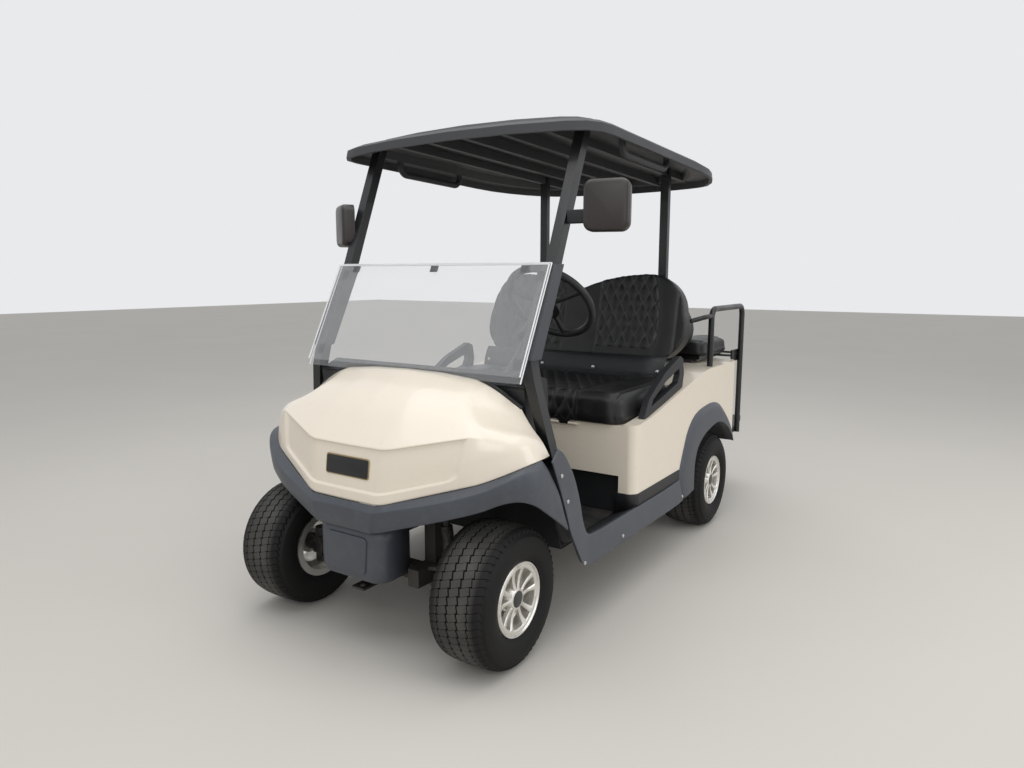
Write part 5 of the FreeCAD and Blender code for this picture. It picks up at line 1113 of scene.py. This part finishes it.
def soft_pad(node, name, body, material, form, ironing, raise_foot=0.0, foot_reach=0.0):
    """A dense copy of a CAD cushion, ironed round and swollen by form, which gives its lift and its quilt.

    The lift is in millimetres. A backrest's foot may be raised, fading out over foot_reach above it."""
    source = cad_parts[node]
    mesh = source.data.copy()
    mesh.transform(source.matrix_world)
    pad = bpy.data.objects.new(name, mesh)
    bpy.context.scene.collection.objects.link(pad)
    dense = pad.modifiers.new("dense", "REMESH")
    dense.mode = "VOXEL"
    dense.voxel_size = PAD_GRID
    ironed = pad.modifiers.new("ironed", "SMOOTH")
    ironed.iterations = ironing
    ironed.factor = 0.5
    skin_mesh = bpy.data.meshes.new_from_object(pad.evaluated_get(bpy.context.evaluated_depsgraph_get()))
    pad.modifiers.clear()
    pad.data = skin_mesh
    places = np.empty(len(skin_mesh.vertices) * 3)
    facing = np.empty(len(skin_mesh.vertices) * 3)
    skin_mesh.vertices.foreach_get("co", places)
    skin_mesh.vertices.foreach_get("normal", facing)
    places = places.reshape(-1, 3)
    facing = facing.reshape(-1, 3)
    if raise_foot:
        above = places[:, 2] - places[:, 2].min()
        places[:, 2] += raise_foot * np.clip(1 - above / foot_reach, 0, 1)
    lift, quilt = form(places[:, 0], places[:, 1], places[:, 2], facing)
    places = places + facing * (lift * MM)[:, None]
    skin_mesh.vertices.foreach_set("co", places.ravel())
    skin_mesh.attributes.new("quilt", "FLOAT", "POINT").data.foreach_set("value", quilt)
    skin_mesh.materials.clear()
    skin_mesh.materials.append(material)
    skin_mesh.shade_smooth()
    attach(pad, body)
    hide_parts(node)


def ridge(distance, width):
    """A narrow rounded line across a surface: 1 on the line, fading out over about twice its width."""
    return np.exp(-(distance / width) ** 2)


def bench_form(quilt_half, end):
    """The form of a bench cushion: quilted between its ends, with a bolster and a boxed seam at each end."""
    def form(x, y, z, facing):
        out = np.abs(x)
        shown = np.maximum(ease((facing[:, 2] - 0.1) / 0.4), ease((-facing[:, 1] - 0.4) / 0.3))
        shown = shown * ease((z - z.min() - FOOT_BAND) / FOOT_FADE)
        quilt = ease((quilt_half - out) / QUILT_FADE) * shown
        foam = PUFF * puffs(x, y - z) - STITCH_PULL
        roll = BOLSTER * np.sin(np.pi * np.clip((out - quilt_half) / (end - quilt_half), 0, 1))
        seams = SEAM_PULL * (ridge(out - quilt_half, SEAM_WIDTH) + ridge(out - end, SEAM_WIDTH))
        side = (1 - shown) * ease((0.2 - facing[:, 2]) / 0.4) * ease((facing[:, 2] + 0.9) / 0.3)
        return quilt * foam + shown * (roll - seams) + SIDE_SWELL * side, quilt
    return form


def back_form(inner, outer, foot, middle_z, end):
    """The form of a backrest: each half is quilted between an inner and a bowed outer seam."""
    def form(x, y, z, facing):
        out = np.abs(x)
        shown = ease((-facing[:, 1] - 0.15) / 0.4)
        bowed = outer - SEAM_BOW * (z - middle_z) ** 2
        between = ease((out - inner) / QUILT_FADE) if inner > 0 else 1.0
        quilt = between * ease((bowed - out) / QUILT_FADE) * ease((z - foot) / FOOT_BAND) * shown
        foam = PUFF * puffs(x, z) - STITCH_PULL
        roll = BOLSTER * np.sin(np.pi * np.clip((out - bowed) / np.maximum(end - bowed, 0.01), 0, 1))
        seams = SEAM_PULL * (ridge(out - bowed, SEAM_WIDTH) + ridge(out - end, SEAM_WIDTH))
        if inner > 0:
            seams = seams + STITCH_PULL * ridge(out - inner, SEAM_WIDTH)
        return quilt * foam + shown * (roll - seams), quilt
    return form


# Soft vinyl over foam: the sheen breaks up over every quilted diamond.
seat_vinyl = quilted_vinyl("quilted_black_vinyl_seat", (0.0, 1.0, -1.0))
back_vinyl = quilted_vinyl("quilted_black_vinyl_back", (0.0, 0.0, 1.0))
bench_quilt = bench_form(quilt_half=0.335, end=0.498)
soft_pad("seat_cushion_front", "bench_cushion", "front_seat", seat_vinyl, bench_quilt, ironing=24)
back_quilt = back_form(inner=0.092, outer=0.408, foot=0.886, middle_z=1.010, end=0.492)
soft_pad("seat_back_front", "bench_backrest", "chassis", back_vinyl, back_quilt, ironing=12,
         raise_foot=58.0 * MM, foot_reach=170.0 * MM)
bench_quilt = bench_form(quilt_half=0.320, end=0.470)
soft_pad("seat_cushion_rear", "rear_cushion", "rear_seat", seat_vinyl, bench_quilt, ironing=6)
back_quilt = back_form(inner=0.0, outer=0.330, foot=0.880, middle_z=0.985, end=0.425)
soft_pad("seat_back_rear", "rear_backrest", "chassis", back_vinyl, back_quilt, ironing=6)


# Seal: a black rubber bead that closes the cowl's rear edge against the dash.
# Extruded rubber pushed onto the edge; it runs right across below the windshield.

def bead(name, path, radius, material, around=10):
    """A round bead along a path of places, closed at its ends."""
    path = [Vector(place) for place in path]
    verts = []
    for i, place in enumerate(path):
        run = (path[min(i + 1, len(path) - 1)] - path[max(i - 1, 0)]).normalized()
        side = run.cross(Vector((0, 0, 1))).normalized()
        over = side.cross(run)
        for step in range(around):
            angle = 2 * math.pi * step / around
            verts.append(place + (side * math.cos(angle) + over * math.sin(angle)) * radius)
    faces = ring_faces(0, len(path), around)
    faces.append(tuple(range(around))[::-1])
    faces.append(tuple(len(verts) - around + step for step in range(around)))
    return new_piece(name, verts, faces, material)


SEAL_RADIUS = 7.0 * MM
# The seal lies this far behind the cowl's rear edge, and above it.
SEAL_BACK = 3.0
SEAL_UP = 2.0
# Dull rubber that draws one soft black line where cream meets the windshield's foot.
seal_rubber = mottled("extruded_seal_rubber", "#121213", "#1C1C1D", 20.0, 600.0, 0.15 * MM, 0.5, 0.66)
seal_row = soft_line(whole_row(HOOD_REAR), np.linspace(0, 16, 97), COWL_SOFT[:0:-1] + COWL_SOFT)
seal_path = [at(x, y + SEAL_BACK, z + SEAL_UP) for x, y, z in seal_row]
seal = bead("cowl_seal", seal_path, SEAL_RADIUS, seal_rubber)
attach(seal, "chassis")


# Pane edges: the polished cut edges of the two acrylic panes, each drawn as a thin bead of painted highlight.
# Light runs along inside the sheet and leaves at its edge as a thin bright line, which is painted on, near
# white.

# Painted highlight: near white paint on the clear polished edge, standing in for the light it gathers from
# the sheet.
painted_edge_highlight = mottled("acrylic_edge_painted_highlight", "#E6EAEC", "#F7F9F9", 40.0, 300.0, 0.01 * MM, 0.1, 0.2)
PANE_HALF = 477.0
PANE_EDGE_R = 2.4 * MM
PANE_EDGE_AROUND = 8
# Three beads to a pane, down each side and across its top, carry the painted highlight.
# Each pane's foot and top: back from mid-wheelbase, up.
for name, foot, top in (("fixed_pane_edge_highlight", (-746, 886), (-559.5, 1261)),
                        ("folded_pane_edge_highlight", (-749, 908), (-576, 1257))):
    runs = [[(side * PANE_HALF, *foot), (side * PANE_HALF, *top)] for side in (1, -1)]
    runs.append([(-PANE_HALF, *top), (PANE_HALF, *top)])
    for i, run in enumerate(runs):
        pane_edge = bead(name + "_" + str(i), [at(*place) for place in run], PANE_EDGE_R, painted_edge_highlight,
                         PANE_EDGE_AROUND)
        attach(pane_edge, "chassis")
